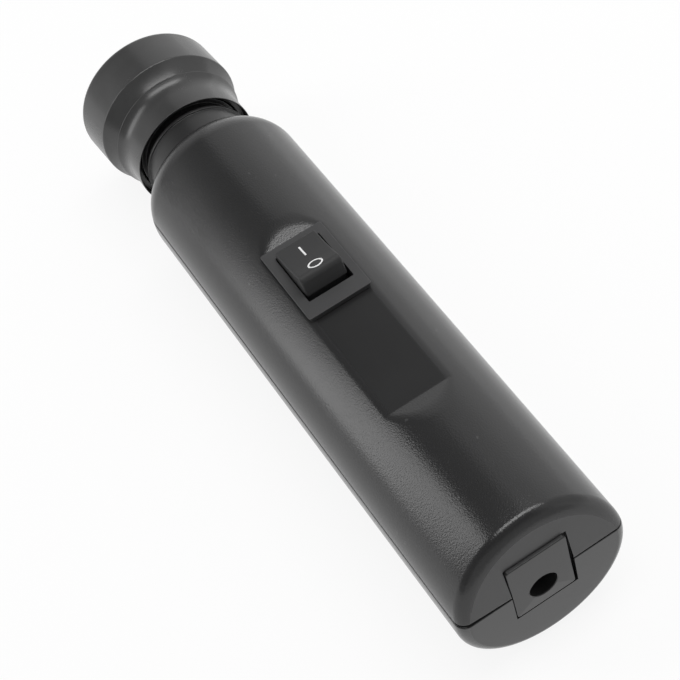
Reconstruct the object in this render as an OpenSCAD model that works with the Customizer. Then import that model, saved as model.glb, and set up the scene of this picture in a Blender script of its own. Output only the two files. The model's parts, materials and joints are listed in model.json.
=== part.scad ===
// Egg candling lamp: a round hand-held body in two half shells, with a rocker switch
// on top, a power inlet in the rear face and a rubber cup round the light.
// Millimetres. The lamp lies along X, rear face towards -X, switch towards +Z.

/* [Body] */
// Radius of the round body
body_r = 19; // [18:0.5:21]
// Length from the rear face to the end of the shoulder curve
body_len = 135.2; // [130:0.2:150]
// Radius of the shoulder curve at the front
shoulder_r = 8.9; // [8:0.1:9]
// Wall thickness of the shells
wall = 2; // [1.6:0.1:2.4]
// Height of the split between the shells above the axis
split_h = 2.5; // [2:0.1:3]
// Gap that shows along the split
seam_gap = 0.24; // [0.1:0.02:0.4]
// Radius of the upper shell's rear edge
upper_edge_r = 2.6; // [2:0.1:3]
// Radius of the lower shell's rear edge
lower_edge_r = 2.4; // [2:0.1:3]
// Depth of the label flat below the top of the body
flat_depth = 1.5; // [1.2:0.1:1.8]
// Length of the label flat behind the switch
label_len = 28.6; // [24:0.2:32]
// Length of the ramp at each end of the flat
ramp_len = 4.8; // [3:0.2:7]
// Thickness of the panel under the flat
panel_t = 2.2; // [1.8:0.1:2.6]

/* [Fasteners] */
// Radius of the case screws' thread
screw_r = 1.4; // [1.2:0.1:1.6]
// Length of the case screws under the head
screw_len = 15; // [13:0.5:18]
// Radius of the case screws' head
screw_head_r = 2.6; // [2.2:0.1:2.8]
// Height of the case screws' head
screw_head_h = 1.8; // [1.4:0.1:2.2]
// Height of the screw seats below the axis
seat_depth = 7; // [6:0.5:9]
// Wall of plastic round each screw
boss_wall = 1.6; // [1.2:0.1:2]

/* [Power inlet] */
// Width of the inlet plate
plate_w = 13.4; // [12:0.2:15]
// Height of the inlet plate
plate_h = 16.8; // [15:0.2:18]
// Radius of the plug hole
plug_hole_r = 3.15; // [2.9:0.05:3.6]
// How far the plate's flange reaches behind the rear wall, on each side
flange_lip = 1.8; // [1.2:0.1:2.2]
// Thickness of the plate's flange
plate_flange_t = 2; // [1.5:0.1:2.5]
// Gap between the plate and the shells on the right
plate_gap_right = 0.55; // [0.3:0.05:0.7]
// Gap between the plate and the shells on the other sides
plate_gap = 0.2; // [0.1:0.05:0.4]
// Width of the inlet's case
jack_w = 9; // [8.4:0.2:10]
// Height of the inlet's case
jack_h = 10.4; // [9.6:0.2:11]
// Length of the inlet's case
jack_len = 13; // [12:0.5:15]
// Radius of the inlet's centre pin
jack_pin_r = 1; // [0.8:0.05:1.2]

/* [Switch] */
// Distance from the end of the shoulder curve back to the middle of the switch
switch_setback = 56.9; // [52:0.1:61]
// Length of the bezel
bezel_l = 21; // [20:0.2:22]
// Width of the bezel
bezel_w = 15; // [14.4:0.2:16]
// Thickness of the bezel
bezel_t = 1.4; // [1.2:0.1:2]
// Length of the switch case below the bezel
housing_l = 18.8; // [18.4:0.1:19.2]
// Width of the switch case below the bezel
housing_w = 12.8; // [12.6:0.1:13.4]
// Depth of the switch case below the bezel
housing_d = 11; // [10.5:0.25:12]
// Length of the rocker
rocker_l = 12.4; // [12:0.1:13]
// Width of the rocker
rocker_w = 9.8; // [9.2:0.1:10]
// Height of the rocker's ridges above its pivot
rocker_h = 5.4; // [5:0.1:6]
// Depth of the hollow in the rocker's top
rocker_dip = 1.25; // [0.8:0.05:1.6]
// Tilt of the rocker to either side
rocker_tilt = 13; // [9:0.5:13.5]
// Depth of the rocker's pivot below the label flat
pivot_depth = 0.5; // [0.3:0.05:0.7]
// Radius of the rocker's pivot pins
pivot_r = 1; // [0.8:0.05:1.1]
// Tilt of the contact blade to either side
blade_tilt = 6; // [4:0.25:6.5]

/* [Neck and light] */
// Radius of the neck
barrel_r = 13.1; // [12.8:0.1:14]
// Wall of the neck
barrel_wall = 1.8; // [1.5:0.1:2.2]
// Length of the neck that shows between the shoulder and the cup
neck_len = 7.2; // [5:0.2:10]
// Height of the fine bead on the neck
bead_h = 0.35; // [0.2:0.05:0.5]
// Length of the heat sink
sink_len = 7; // [5:0.5:8]
// Thickness of the light board
board_t = 1.6; // [1:0.1:2]
// Radius of the emitter's package
led_r = 3.6; // [3:0.1:4]
// Length of the reflector
reflector_len = 12.8; // [11:0.2:14]
// Thickness of the lens at its rim
lens_rim_t = 2; // [1.5:0.1:2.4]
// Height of the lens's dome
lens_dome_h = 1.8; // [1.2:0.1:2.2]
// Length of the ring that holds the lens
ring_len = 2.5; // [2:0.1:3]

/* [Rubber cup] */
// Length of the cup
cup_len = 24.4; // [23:0.2:28]
// Radius of the cup's skirt
skirt_r = 15; // [14.8:0.1:16]
// Length of the straight part of the skirt
skirt_len = 4.5; // [3:0.1:6]
// Distance from the skirt's end to the fine step
step_x = 9.2; // [8.4:0.1:10]
// Radius of the cup at the fine step
step_r = 16.2; // [15.8:0.1:16.6]
// Height of the fine step
step_h = 0.35; // [0.2:0.05:0.5]
// Radius of the lip
lip_r = 17.75; // [17.2:0.05:18.4]
// Length of the lip band
lip_len = 10.6; // [9.6:0.2:11.6]
// Rounding of the lip's front edge
lip_round = 1.2; // [0.8:0.1:1.5]
// Thickness of the lip at its mouth
lip_t = 1.9; // [1.6:0.1:2.2]
// Depth of the hollow under the skirt
skirt_hollow = 2.6; // [2:0.1:4]
// Thickness of the skirt's edge
skirt_edge_t = 0.55; // [0.4:0.05:0.8]
// How far the neck reaches into the cup
seat_len = 14; // [13:0.2:15]

/* [Wiring] */
// Radius of the wires over their insulation
wire_r = 0.7; // [0.5:0.05:0.8]
// Length of the resistor's body
resistor_len = 9; // [7:0.5:11]
// Radius of the resistor's body
resistor_r = 1.8; // [1.4:0.1:2]

/* [Clearances] */
// Gap between pieces that are pushed together
fit = 0.12; // [0.08:0.01:0.15]
// Running clearance of the pivot pins
running = 0.05; // [0.03:0.01:0.08]

/* [Hidden] */
$fn = 96;
eps = 0.01;

// Body
cavity_r = body_r - wall;
cavity_edge_r = 0.6;
switch_x = body_len - switch_setback;
flat_z = body_r - flat_depth;
panel_z = flat_z - panel_t;
flat_rear_x = switch_x - bezel_l / 2 - label_len;
flat_front_x = switch_x + bezel_l / 2;
rib_t = 2;
rib_reach = cavity_r + wall / 2;
tongue_t = 0.8;
tongue_h = 1.4;
tongue_root = 1.5;
tongue_setback = 4;

// Power inlet
flange_x = wall + fit;
jack_x = flange_x + plate_flange_t;
jack_end_x = jack_x + jack_len;
plate_flange_w = plate_w + 2 * flange_lip;
jack_bore_step = 0.2;
jack_bore_r = plug_hole_r - jack_bore_step;
jack_back_t = 2.6;
saddle_inset = 0.5;
pin_setback = 2.4;
rivet_h = 0.3;
tab_t = 0.5;
tab_len = 4.5;
tab_w = 3.2;
tab_low = 1.7;
tab_high = 2.3;
spring_t = 0.4;
spring_w = 2.2;
spring_setback = 2;
spring_depth = 0.75;
spring_z = -(jack_bore_r + spring_depth);

// Switch
rocker_gap = 0.3;
rocker_side_gap = 0.25;
opening_l = 2 * (rocker_l / 2 * cos(rocker_tilt) + rocker_gap
    + (bezel_t + pivot_depth + rocker_l / 2 * sin(rocker_tilt)) * tan(rocker_tilt));
opening_w = rocker_w + 2 * rocker_side_gap;
snap_w = 5;
snap_root = 1;
snap_reach = 0.7;
snap_h = 6;
floor_t = 1.5;
pivot_z = flat_z - pivot_depth;
pivot_len = 0.9;
rocker_base = 1.6;
rocker_roof = 2;
spring_roof = rocker_h - rocker_dip - rocker_roof;
stem_r = 2.3;
stem_len = 5;
plunger_r = 1.2;
plunger_top = -1.5;
floor_z = flat_z - housing_d + floor_t;
blade_t = 0.4;
blade_l = 11;
blade_w = 4;
blade_rise = 1;
blade_z = floor_z + blade_rise;
blade_gap = 0.1;
plunger_gap = 0.2;
plunger_z = blade_z + blade_t + plunger_gap + plunger_r - pivot_z;
load_x = -5;
contact_r = 1;
terminal_t = 0.6;
terminal_w = 4;
terminal_len = 8;

// Neck and light
barrel_bore_r = barrel_r - barrel_wall;
barrel_flange_t = 2;
barrel_flange_gap = 1.4;
barrel_flange_setback = 1.2;
barrel_x = body_len - shoulder_r - rib_t - fit - barrel_flange_t - barrel_flange_setback;
ledge_len = 8;
ledge_w = 1.9;
sink_x = barrel_x + ledge_len;
board_x = sink_x + sink_len;
led_x = board_x + board_t;
led_h = 1.2;
led_margin = 1;
lens_x = led_x + reflector_len;
ring_x = lens_x + lens_rim_t;
cup_x = body_len + neck_len;
barrel_end_x = cup_x + seat_len;
ring_w = 1.6;
bead_len = 0.8;
wire_hole_y = 6;
wire_hole_gap = 0.3;
board_gap = 0.6;
board_screw_z = 7;
board_screw_r = 0.95;
board_screw_len = 5;
board_screw_tip_gap = 0.2;

// Rubber cup
total_len = cup_x + cup_len;
stop_t = 1.5;
stop_w = 0.7;
stop_r = barrel_bore_r - stop_w;
seat_floor_w = 1;
mouth_chamfer = 0.4;
step_slope = 0.1;
hollow_r = skirt_r - skirt_edge_t;

// Case screws stand between the inlet, the switch and the neck
boss_r = screw_r + boss_wall;
well_gap = 0.4;
well_r = screw_head_r + well_gap;
well_wall = 1.2;
well_floor_t = 1.6;
screw_tip_r = 0.3;
recess_l = 3.2;
recess_w = 0.7;
recess_d = 1;
inlet_to_screw = 4;
screw_to_switch = 6;
screw_to_neck = 8;
screw_xs = [
    jack_end_x + tab_len + boss_r + inlet_to_screw,
    switch_x - housing_l / 2 - boss_r - screw_to_switch,
    barrel_x - rib_t - boss_r - screw_to_neck
];

// Resistor lies in a cradle beside the front screw
switch_to_resistor = 8;
resistor_x = switch_x + housing_l / 2 + switch_to_resistor;
resistor_y = 8.5;
resistor_z = -6;
cradle_side = 1;
lead_r = 0.35;
lead_len = 3;

// Wires end just short of the tab that they are soldered to
lead_gap = 0.15;
lead_straight = 2 * wire_r;
terminal_foot = flat_z - housing_d - terminal_len + 2;
feed_z = tab_high - tab_t / 2;

// Colours
black_plastic = [0.09, 0.09, 0.095];
black_rubber = [0.07, 0.07, 0.07];
brass = [0.8, 0.65, 0.32];
steel = [0.66, 0.67, 0.69];
alloy = [0.78, 0.79, 0.81];

// Lamp frame (X from the rear face, Z from the axis) to the model's frame
module lamp() {
    translate([-total_len / 2, 0, body_r]) children();
}

// Frame of the switch: middle of the bezel, at the level of the label flat
module at_switch() {
    lamp() translate([switch_x, 0, flat_z]) children();
}

// Turns an outline of [radius, distance] about the lamp's axis
module revolve() {
    rotate([0, 90, 0]) rotate_extrude() children();
}

// Round bar along X
module bar(x0, x1, r) {
    translate([x0, 0, 0]) rotate([0, 90, 0]) cylinder(r = r, h = x1 - x0);
}

// Extrudes an outline of [x, z] to a width along Y, about Y = 0
module across(w) {
    rotate([90, 0, 0]) translate([0, 0, -w / 2]) linear_extrude(w) children();
}

// Box centred on Y
module box_y(x0, x1, w, z0, z1) {
    translate([x0, -w / 2, z0]) cube([x1 - x0, w, z1 - z0]);
}

// Half section of a round body with a rounded rear edge and a rounded front
module body_outline(len, r, rear_r, front_r) {
    intersection() {
        square([r, len]);
        union() {
            translate([0, rear_r]) square([r, len - rear_r - front_r]);
            square([r - rear_r, 2 * rear_r]);
            translate([r - rear_r, rear_r]) circle(rear_r);
            translate([0, len - 2 * front_r]) square([r - front_r, 2 * front_r]);
            translate([r - front_r, len - front_r]) circle(front_r);
        }
    }
}

// Outside of the body
module body_solid(edge_r) {
    revolve() body_outline(body_len, body_r, edge_r, shoulder_r);
}

// Inside of the body
module cavity() {
    revolve() translate([0, wall])
        body_outline(body_len - 2 * wall, cavity_r, cavity_edge_r, shoulder_r - wall);
}

// Half of space above or below the split, less the seam
module above_split() {
    z = split_h + seam_gap / 2;
    box_y(-1, body_len + 1, 3 * body_r, z, 2 * body_r);
}

module below_split() {
    z = split_h - seam_gap / 2;
    box_y(-1, body_len + 1, 3 * body_r, -2 * body_r, z);
}

// Ribs that both shells have: two rings that hold the neck's flange, and the keepers
// that hold the inlet plate's flange against the rear wall
module shared_ribs() {
    for (x = [barrel_x - fit - rib_t, barrel_x + barrel_flange_t + fit])
        difference() {
            bar(x, x + rib_t, rib_reach);
            bar(x - 1, x + rib_t + 1, barrel_r + fit);
        }
    keeper_x = jack_x + fit;
    intersection() {
        bar(keeper_x, keeper_x + rib_t, rib_reach);
        for (s = [-1, 1])
            translate([keeper_x, (s * plate_w - rib_t) / 2, -body_r])
                cube([rib_t, rib_t, 2 * body_r]);
    }
}

// Aperture for the inlet plate and hole for the neck, cut from both shells
module shared_cuts() {
    translate([-1, -plate_w / 2 - plate_gap_right, split_h - plate_h / 2 - plate_gap])
        cube([wall + 2, plate_w + plate_gap_right + plate_gap, plate_h + 2 * plate_gap]);
    bar(body_len - shoulder_r, body_len + 1, barrel_r + fit);
}

// Rib that steadies the inlet's case from above or below
module jack_saddle(z0, z1) {
    x = jack_x + jack_len / 2;
    intersection() {
        bar(x, x + rib_t, rib_reach);
        box_y(x, x + rib_t, jack_w - 2 * saddle_inset, z0, z1);
    }
}

// Strip that runs along the split inside the wall, grown by a clearance
module tongue(grow) {
    x0 = jack_end_x - tongue_setback - grow;
    x1 = barrel_x - rib_t - tongue_setback + grow;
    z0 = split_h - tongue_root;
    intersection() {
        difference() {
            bar(x0, x1, cavity_r + tongue_t + grow);
            bar(x0 - 1, x1 + 1, cavity_r - grow);
        }
        box_y(x0, x1, 2 * body_r, z0, split_h + tongue_h + grow);
    }
}

module upper_shell() {
    color(black_plastic) lamp() difference() {
        union() {
            intersection() {
                union() {
                    difference() {
                        body_solid(upper_edge_r);
                        difference() {
                            cavity();
                            box_y(flat_rear_x - ramp_len, flat_front_x + ramp_len,
                                2 * body_r, panel_z, body_r);
                        }
                    }
                    shared_ribs();
                    jack_saddle(jack_h / 2 + fit, body_r);
                }
                above_split();
            }
            for (x = screw_xs)
                intersection() {
                    body_solid(upper_edge_r);
                    translate([x, 0, split_h]) cylinder(r = boss_r, h = rib_reach - split_h);
                }
        }
        shared_cuts();
        tongue(fit);
        // label flat with its two ramps
        rise = ramp_len * (flat_depth + 1) / flat_depth;
        across(2 * body_r) polygon([
            [flat_rear_x - rise, body_r + 1], [flat_rear_x, flat_z],
            [flat_front_x, flat_z], [flat_front_x + rise, body_r + 1]
        ]);
        // cut-out for the switch
        box_y(switch_x - housing_l / 2 - fit, switch_x + housing_l / 2 + fit,
            housing_w + 2 * fit, panel_z - 1, body_r);
        for (x = screw_xs)
            translate([x, 0, split_h - 1])
                cylinder(r = screw_r + running, h = screw_len - seat_depth - split_h + 2);
    }
}

module lower_shell() {
    well_top = -seat_depth + well_floor_t;
    color(black_plastic) lamp() difference() {
        union() {
            intersection() {
                union() {
                    difference() {
                        body_solid(lower_edge_r);
                        cavity();
                    }
                    shared_ribs();
                    jack_saddle(-body_r, -jack_h / 2 - fit);
                    resistor_cradle();
                }
                below_split();
            }
            tongue(0);
            intersection() {
                body_solid(lower_edge_r);
                for (x = screw_xs) {
                    translate([x, 0, -body_r]) cylinder(r = well_r + well_wall, h = well_top + body_r);
                    translate([x, 0, -body_r]) cylinder(r = boss_r, h = split_h + body_r);
                }
            }
        }
        shared_cuts();
        for (x = screw_xs) {
            translate([x, 0, -body_r - 1]) cylinder(r = well_r, h = body_r + 1 - seat_depth);
            translate([x, 0, -body_r]) cylinder(r = screw_r + running, h = 2 * body_r);
        }
    }
}

// Two ribs with a round notch that carry the resistor
module resistor_cradle() {
    intersection() {
        bar(resistor_x, resistor_x + resistor_len, rib_reach);
        difference() {
            for (x = [resistor_x, resistor_x + resistor_len - rib_t])
                translate([x, resistor_y - resistor_r - cradle_side, -body_r])
                    cube([rib_t, 2 * (resistor_r + cradle_side), body_r + resistor_z]);
            translate([0, resistor_y, resistor_z])
                bar(resistor_x - 1, resistor_x + resistor_len + 1, resistor_r + fit);
        }
    }
}

module case_screws() {
    color(steel) lamp() for (x = screw_xs)
        translate([x, 0, -seat_depth]) difference() {
            union() {
                cylinder(r = screw_r, h = screw_len - screw_r);
                translate([0, 0, screw_len - screw_r]) cylinder(r1 = screw_r, r2 = screw_tip_r, h = screw_r);
                translate([0, 0, -screw_head_h]) cylinder(r = screw_head_r, h = screw_head_h);
            }
            // cross recess
            for (a = [0, 90])
                rotate(a) translate([-recess_l / 2, -recess_w / 2, -screw_head_h - 1])
                    cube([recess_l, recess_w, recess_d + 1]);
        }
}

module jack_plate() {
    color(black_plastic) lamp() difference() {
        union() {
            box_y(0, flange_x + eps, plate_w, split_h - plate_h / 2, split_h + plate_h / 2);
            box_y(flange_x, jack_x, plate_flange_w,
                split_h - plate_h / 2 - flange_lip, split_h + plate_h / 2 + flange_lip);
        }
        bar(-1, jack_x + 1, plug_hole_r);
    }
}

module jack_body() {
    color(black_plastic) lamp() difference() {
        box_y(jack_x, jack_end_x, jack_w, -jack_h / 2, jack_h / 2);
        bar(jack_x - 1, jack_end_x - jack_back_t, jack_bore_r);
        bar(jack_x, jack_end_x + 1, jack_pin_r + running);
        // slot for the sleeve contact
        box_y(jack_x + spring_setback, jack_end_x + 1, spring_w + 2 * fit,
            spring_z - spring_t / 2 - fit, spring_z + spring_t / 2 + fit);
    }
}

module jack_pin() {
    color(steel) lamp() {
        x0 = jack_x + pin_setback;
        bar(x0 + jack_pin_r, jack_end_x + tab_t + rivet_h, jack_pin_r);
        translate([x0 + jack_pin_r, 0, 0]) sphere(jack_pin_r);
    }
}

module jack_pin_tab() {
    color(brass) lamp() difference() {
        union() {
            box_y(jack_end_x, jack_end_x + tab_t, tab_w, -tab_low, tab_high);
            box_y(jack_end_x, jack_end_x + tab_len, tab_w, tab_high - tab_t, tab_high);
        }
        bar(jack_end_x - 1, jack_end_x + tab_t + 1, jack_pin_r + running);
    }
}

module jack_spring() {
    color(brass) lamp()
        box_y(jack_x + spring_setback + fit, jack_end_x + tab_len, spring_w,
            spring_z - spring_t / 2, spring_z + spring_t / 2);
}

module switch_housing() {
    tab_z = -panel_t - fit;
    color(black_plastic) at_switch() difference() {
        union() {
            box_y(-bezel_l / 2, bezel_l / 2, bezel_w, 0, bezel_t);
            box_y(-housing_l / 2, housing_l / 2, housing_w, -housing_d, eps);
            // snap tabs under the panel, at both ends
            across(snap_w) for (s = [-1, 1]) polygon([
                [s * (housing_l / 2 - snap_root), tab_z], [s * (housing_l / 2 + snap_reach), tab_z],
                [s * (housing_l / 2 - snap_root), tab_z - snap_h]
            ]);
        }
        box_y(-opening_l / 2, opening_l / 2, opening_w, floor_t - housing_d, bezel_t + 1);
        // bearings of the pivot pins
        translate([0, opening_w / 2 + pivot_len, -pivot_depth]) rotate([90, 0, 0])
            cylinder(r = pivot_r + running, h = opening_w + 2 * pivot_len);
        // slots for the terminals
        for (x = [0, load_x])
            box_y(x - terminal_t / 2 - running, x + terminal_t / 2 + running,
                terminal_w + 2 * running, -housing_d - 1, floor_t - housing_d + 1);
    }
}

// Frame of the rocker, tilted front down as the switch is left
module at_rocker() {
    at_switch() translate([0, 0, -pivot_depth]) rotate([0, rocker_tilt, 0]) children();
}

module rocker() {
    dip_r = (rocker_l * rocker_l / 4 + rocker_dip * rocker_dip) / (2 * rocker_dip);
    color(black_plastic) at_rocker() difference() {
        union() {
            across(rocker_w) difference() {
                translate([-rocker_l / 2, -rocker_base]) square([rocker_l, rocker_h + rocker_base]);
                translate([0, rocker_h - rocker_dip + dip_r]) circle(dip_r);
            }
            translate([0, (opening_w + 2 * pivot_len) / 2 - fit, 0]) rotate([90, 0, 0])
                cylinder(r = pivot_r, h = opening_w + 2 * pivot_len - 2 * fit);
            translate([0, 0, -stem_len]) cylinder(r = stem_r, h = stem_len);
        }
        translate([0, 0, -stem_len - 1])
            cylinder(r = plunger_r + running, h = stem_len + 1 + spring_roof);
    }
}

module plunger() {
    color(brass) at_rocker() {
        translate([0, 0, plunger_z]) cylinder(r = plunger_r, h = plunger_top - plunger_z);
        translate([0, 0, plunger_z]) sphere(plunger_r);
    }
}

// Tube of round section swept along a path of points that runs mostly across Z
module sweep(path, r, sides) {
    last = len(path) - 1;
    dirs = [for (i = [0:last]) unit(path[min(i + 1, last)] - path[max(i - 1, 0)])];
    rings = [for (i = [0:last]) ring(path[i], dirs[i], r, sides)];
    points = concat([for (g = rings) for (p = g) p], [path[0], path[last]]);
    first_cap = (last + 1) * sides;
    walls = [for (i = [0:last - 1]) for (j = [0:sides - 1])
        let (a = i * sides + j, b = i * sides + (j + 1) % sides)
        for (f = [[a, b, a + sides], [b, b + sides, a + sides]]) f];
    caps = [for (j = [0:sides - 1])
        let (k = (j + 1) % sides, e = last * sides)
        for (f = [[first_cap, k, j], [first_cap + 1, e + j, e + k]]) f];
    polyhedron(points, concat(walls, caps));
}

function unit(v) = v / norm(v);

function ring(p, dir, r, sides) =
    let (u = unit(cross(dir, [0, 0, 1])), v = cross(u, dir))
    [for (j = [0:sides - 1]) p + r * (cos(360 * j / sides) * u + sin(360 * j / sides) * v)];

// Smooth path through hand-set points, straight from the first to the second and at the end
function smooth(pts, steps) =
    let (n = len(pts) - 1)
    concat([pts[0]],
        [for (i = [1:n - 2]) for (k = [0:steps - 1])
            spline(pts[i - 1], pts[i], pts[i + 1], pts[i + 2], k / steps)],
        [pts[n - 1], pts[n]]);

function spline(a, b, c, d, t) =
    0.5 * (2 * b + (c - a) * t + (2 * a - 5 * b + 4 * c - d) * t * t
        + (3 * b - a - 3 * c + d) * t * t * t);

module plunger_spring() {
    turns = 6;
    steps = 12;
    coil_wire_r = 0.14;
    coil_r = plunger_r - coil_wire_r - running;
    z0 = plunger_top + coil_wire_r;
    z1 = spring_roof - coil_wire_r;
    color(steel) at_rocker() sweep([for (i = [0:turns * steps]) let (a = 360 * i / steps)
        [coil_r * cos(a), coil_r * sin(a), z0 + (z1 - z0) * i / (turns * steps)]],
        coil_wire_r, 6);
}

module contact_blade() {
    color(brass) lamp() translate([switch_x, 0, blade_z]) rotate([0, -blade_tilt, 0])
        box_y(-blade_l / 2, blade_l / 2, blade_w, 0, blade_t);
}

// Flat tab that comes out of the bottom of the switch
module terminal(x, top) {
    color(brass) lamp() translate([switch_x + x, 0, 0])
        box_y(-terminal_t / 2, terminal_t / 2, terminal_w,
            flat_z - housing_d - terminal_len, top);
}

module common_terminal() {
    terminal(0, blade_z - blade_gap);
}

module load_terminal() {
    contact_top = blade_z + load_x * sin(blade_tilt) - blade_gap - running;
    terminal(load_x, (floor_z + contact_top) / 2);
    color(brass) lamp() translate([switch_x + load_x, 0, floor_z])
        cylinder(r = contact_r, h = contact_top - floor_z);
}

module neck_barrel() {
    color(black_plastic) lamp() difference() {
        union() {
            bar(barrel_x, barrel_end_x, barrel_r);
            bar(barrel_x, barrel_x + barrel_flange_t, cavity_r - barrel_flange_gap);
            bar(cup_x - 2 * bead_len, cup_x - bead_len, barrel_r + bead_h);
        }
        bar(barrel_x - 1, barrel_end_x, barrel_bore_r - ledge_w);
        bar(sink_x, barrel_end_x + 1, barrel_bore_r);
    }
}

module heat_sink() {
    groove = 0.8;
    groove_d = 2;
    color(alloy) lamp() difference() {
        bar(sink_x, board_x, barrel_bore_r - fit);
        for (k = [1:2])
            difference() {
                x = sink_x + k * sink_len / 3;
                bar(x - groove / 2, x + groove / 2, barrel_r);
                bar(x - groove, x + groove, barrel_bore_r - groove_d);
            }
        for (s = [-1, 1]) {
            translate([0, s * wire_hole_y, 0]) bar(sink_x - 1, board_x + 1, wire_r + wire_hole_gap);
            translate([0, 0, s * board_screw_z])
                bar(board_x - board_screw_len + board_t, board_x + 1, board_screw_r + running);
        }
    }
}

module led_board() {
    notch_r = 1.5;
    board_r = barrel_bore_r - board_gap;
    color("white") lamp() difference() {
        bar(board_x, led_x, board_r);
        for (a = [30:60:330])
            rotate([a, 0, 0]) translate([0, board_r, 0]) bar(board_x - 1, led_x + 1, notch_r);
        for (s = [-1, 1])
            translate([0, 0, s * board_screw_z])
                bar(board_x - 1, led_x + 1, board_screw_r + running);
    }
}

module board_screws() {
    head_r = 1.7;
    head_h = 1;
    color(steel) lamp() for (s = [-1, 1])
        translate([0, 0, s * board_screw_z]) {
            bar(led_x - board_screw_len + board_screw_tip_gap, led_x + eps, board_screw_r);
            bar(led_x, led_x + head_h, head_r);
        }
}

module led_base() {
    color("gold") lamp() bar(led_x, led_x + led_h, led_r);
}

module led_dome() {
    x = led_x + led_h;
    dome_r = led_r - led_margin;
    color([0.95, 0.93, 0.7]) lamp() intersection() {
        translate([x, 0, 0]) sphere(dome_r);
        bar(x, x + 2 * dome_r, dome_r + 1);
    }
}

// Deep bowl whose radius grows with the square root of the distance from the throat
module reflector() {
    throat_gap = 0.3;
    throat_r = led_r + throat_gap;
    mouth_r = barrel_bore_r - ring_w;
    rim_t = 1.2;
    skin = 0.9;
    steps = 8;
    x0 = led_x + led_h + fit;
    bowl = [for (k = [0:steps]) let (s = k / steps)
        [throat_r + (mouth_r - throat_r) * s, x0 + (lens_x - x0) * s * s]];
    color(alloy) lamp() revolve() difference() {
        union() {
            polygon(concat([for (p = bowl) p + [skin, 0]], [for (k = [steps:-1:0]) bowl[k]]));
            translate([throat_r, lens_x - rim_t]) square([barrel_bore_r - fit - throat_r, rim_t]);
        }
        polygon(concat(bowl, [[0, lens_x], [0, x0]]));
    }
}

module lens() {
    dome_margin = 0.8;
    dome_foot = barrel_bore_r - ring_w - dome_margin;
    dome_curve = (dome_foot * dome_foot + lens_dome_h * lens_dome_h) / (2 * lens_dome_h);
    color([0.85, 0.92, 0.95, 0.5]) lamp() translate([lens_x, 0, 0]) revolve() {
        square([barrel_bore_r - fit, lens_rim_t]);
        intersection() {
            translate([0, lens_rim_t + lens_dome_h - dome_curve]) circle(dome_curve);
            square([dome_foot, lens_rim_t + lens_dome_h]);
        }
    }
}

module lens_ring() {
    color(black_plastic) lamp() difference() {
        bar(ring_x, ring_x + ring_len, barrel_bore_r - fit);
        bar(ring_x - 1, ring_x + ring_len + 1, barrel_bore_r - ring_w);
    }
}

// Points of a quarter turn about a centre, in [radius, distance]
function quarter(centre, r, steps) =
    [for (k = [0:steps]) let (a = 90 * k / steps) centre + r * [cos(a), sin(a)]];

module rubber_cup() {
    lip_x = cup_len - lip_len;
    bore = barrel_r + fit;
    stop_x = seat_len + fit;
    mouth_r = lip_r - lip_t;
    steps = 6;
    // the flare is an ellipse that leaves the skirt along its length
    flare = [for (k = [1:steps]) let (a = 90 * k / steps)
        [skirt_r + (step_r - skirt_r) * (1 - cos(a)), skirt_len + (step_x - skirt_len) * sin(a)]];
    outside = concat(
        [[hollow_r, 0], [skirt_r, 0], [skirt_r, skirt_len]],
        flare,
        [[step_r + step_h, step_x + step_slope], [lip_r, lip_x]],
        quarter([lip_r - lip_round, cup_len - lip_round], lip_round, steps)
    );
    inside = [
        [mouth_r, cup_len - mouth_chamfer],
        [stop_r + seat_floor_w, stop_x + stop_t], [stop_r, stop_x + stop_t],
        [stop_r, stop_x], [bore, stop_x], [bore, skirt_hollow], [hollow_r, skirt_hollow]
    ];
    color(black_rubber) lamp() translate([cup_x, 0, 0]) revolve() polygon(concat(outside, inside));
}

module resistor() {
    color("tan") lamp() translate([0, resistor_y, resistor_z]) {
        bar(resistor_x, resistor_x + resistor_len, resistor_r);
        bar(resistor_x - lead_len, resistor_x + resistor_len + lead_len, lead_r);
    }
}

// Wire along hand-set points, each [x, y, z] in the lamp frame
module wire(points, shade) {
    color(shade) lamp() sweep(smooth(points, 3), wire_r, 8);
}

module wire_feed() {
    x0 = jack_end_x + tab_len + lead_gap;
    x1 = switch_x - terminal_t / 2 - lead_gap;
    y1 = -terminal_w / 5;
    wire([
        [x0, 0, feed_z], [x0 + lead_straight, 0, feed_z],
        [screw_xs[0] - boss_r, -2 * boss_r, 0], [screw_xs[0] + 2 * boss_r, -3 * boss_r, -boss_r],
        [screw_xs[1], -3 * boss_r, -boss_r], [switch_x - housing_l / 2, -2.5 * boss_r, -boss_r],
        [switch_x - housing_l / 4, -boss_r, terminal_foot],
        [x1 - lead_straight, y1, terminal_foot], [x1, y1, terminal_foot]
    ], "red");
}

module wire_switched() {
    x0 = switch_x + load_x + terminal_t / 2 + lead_gap;
    x1 = resistor_x - lead_len - lead_gap;
    y0 = terminal_w / 5;
    wire([
        [x0, y0, terminal_foot], [x0 + lead_straight, y0, terminal_foot],
        [switch_x, resistor_y / 2, terminal_foot - 2 * wire_r],
        [switch_x + housing_l / 2, resistor_y, 0.75 * resistor_z],
        [x1 - lead_straight, resistor_y, resistor_z], [x1, resistor_y, resistor_z]
    ], "orange");
}

module wire_ballast() {
    x0 = resistor_x + resistor_len + lead_len + lead_gap;
    x1 = board_x - lead_gap;
    wire([
        [x0, resistor_y, resistor_z], [x0 + lead_straight, resistor_y, resistor_z],
        [barrel_x - 2 * rib_t, (resistor_y + wire_hole_y) / 2, resistor_z / 2],
        [barrel_x + 2 * rib_t, wire_hole_y, 0],
        [sink_x - lead_straight, wire_hole_y, 0], [x1, wire_hole_y, 0]
    ], "red");
}

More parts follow.
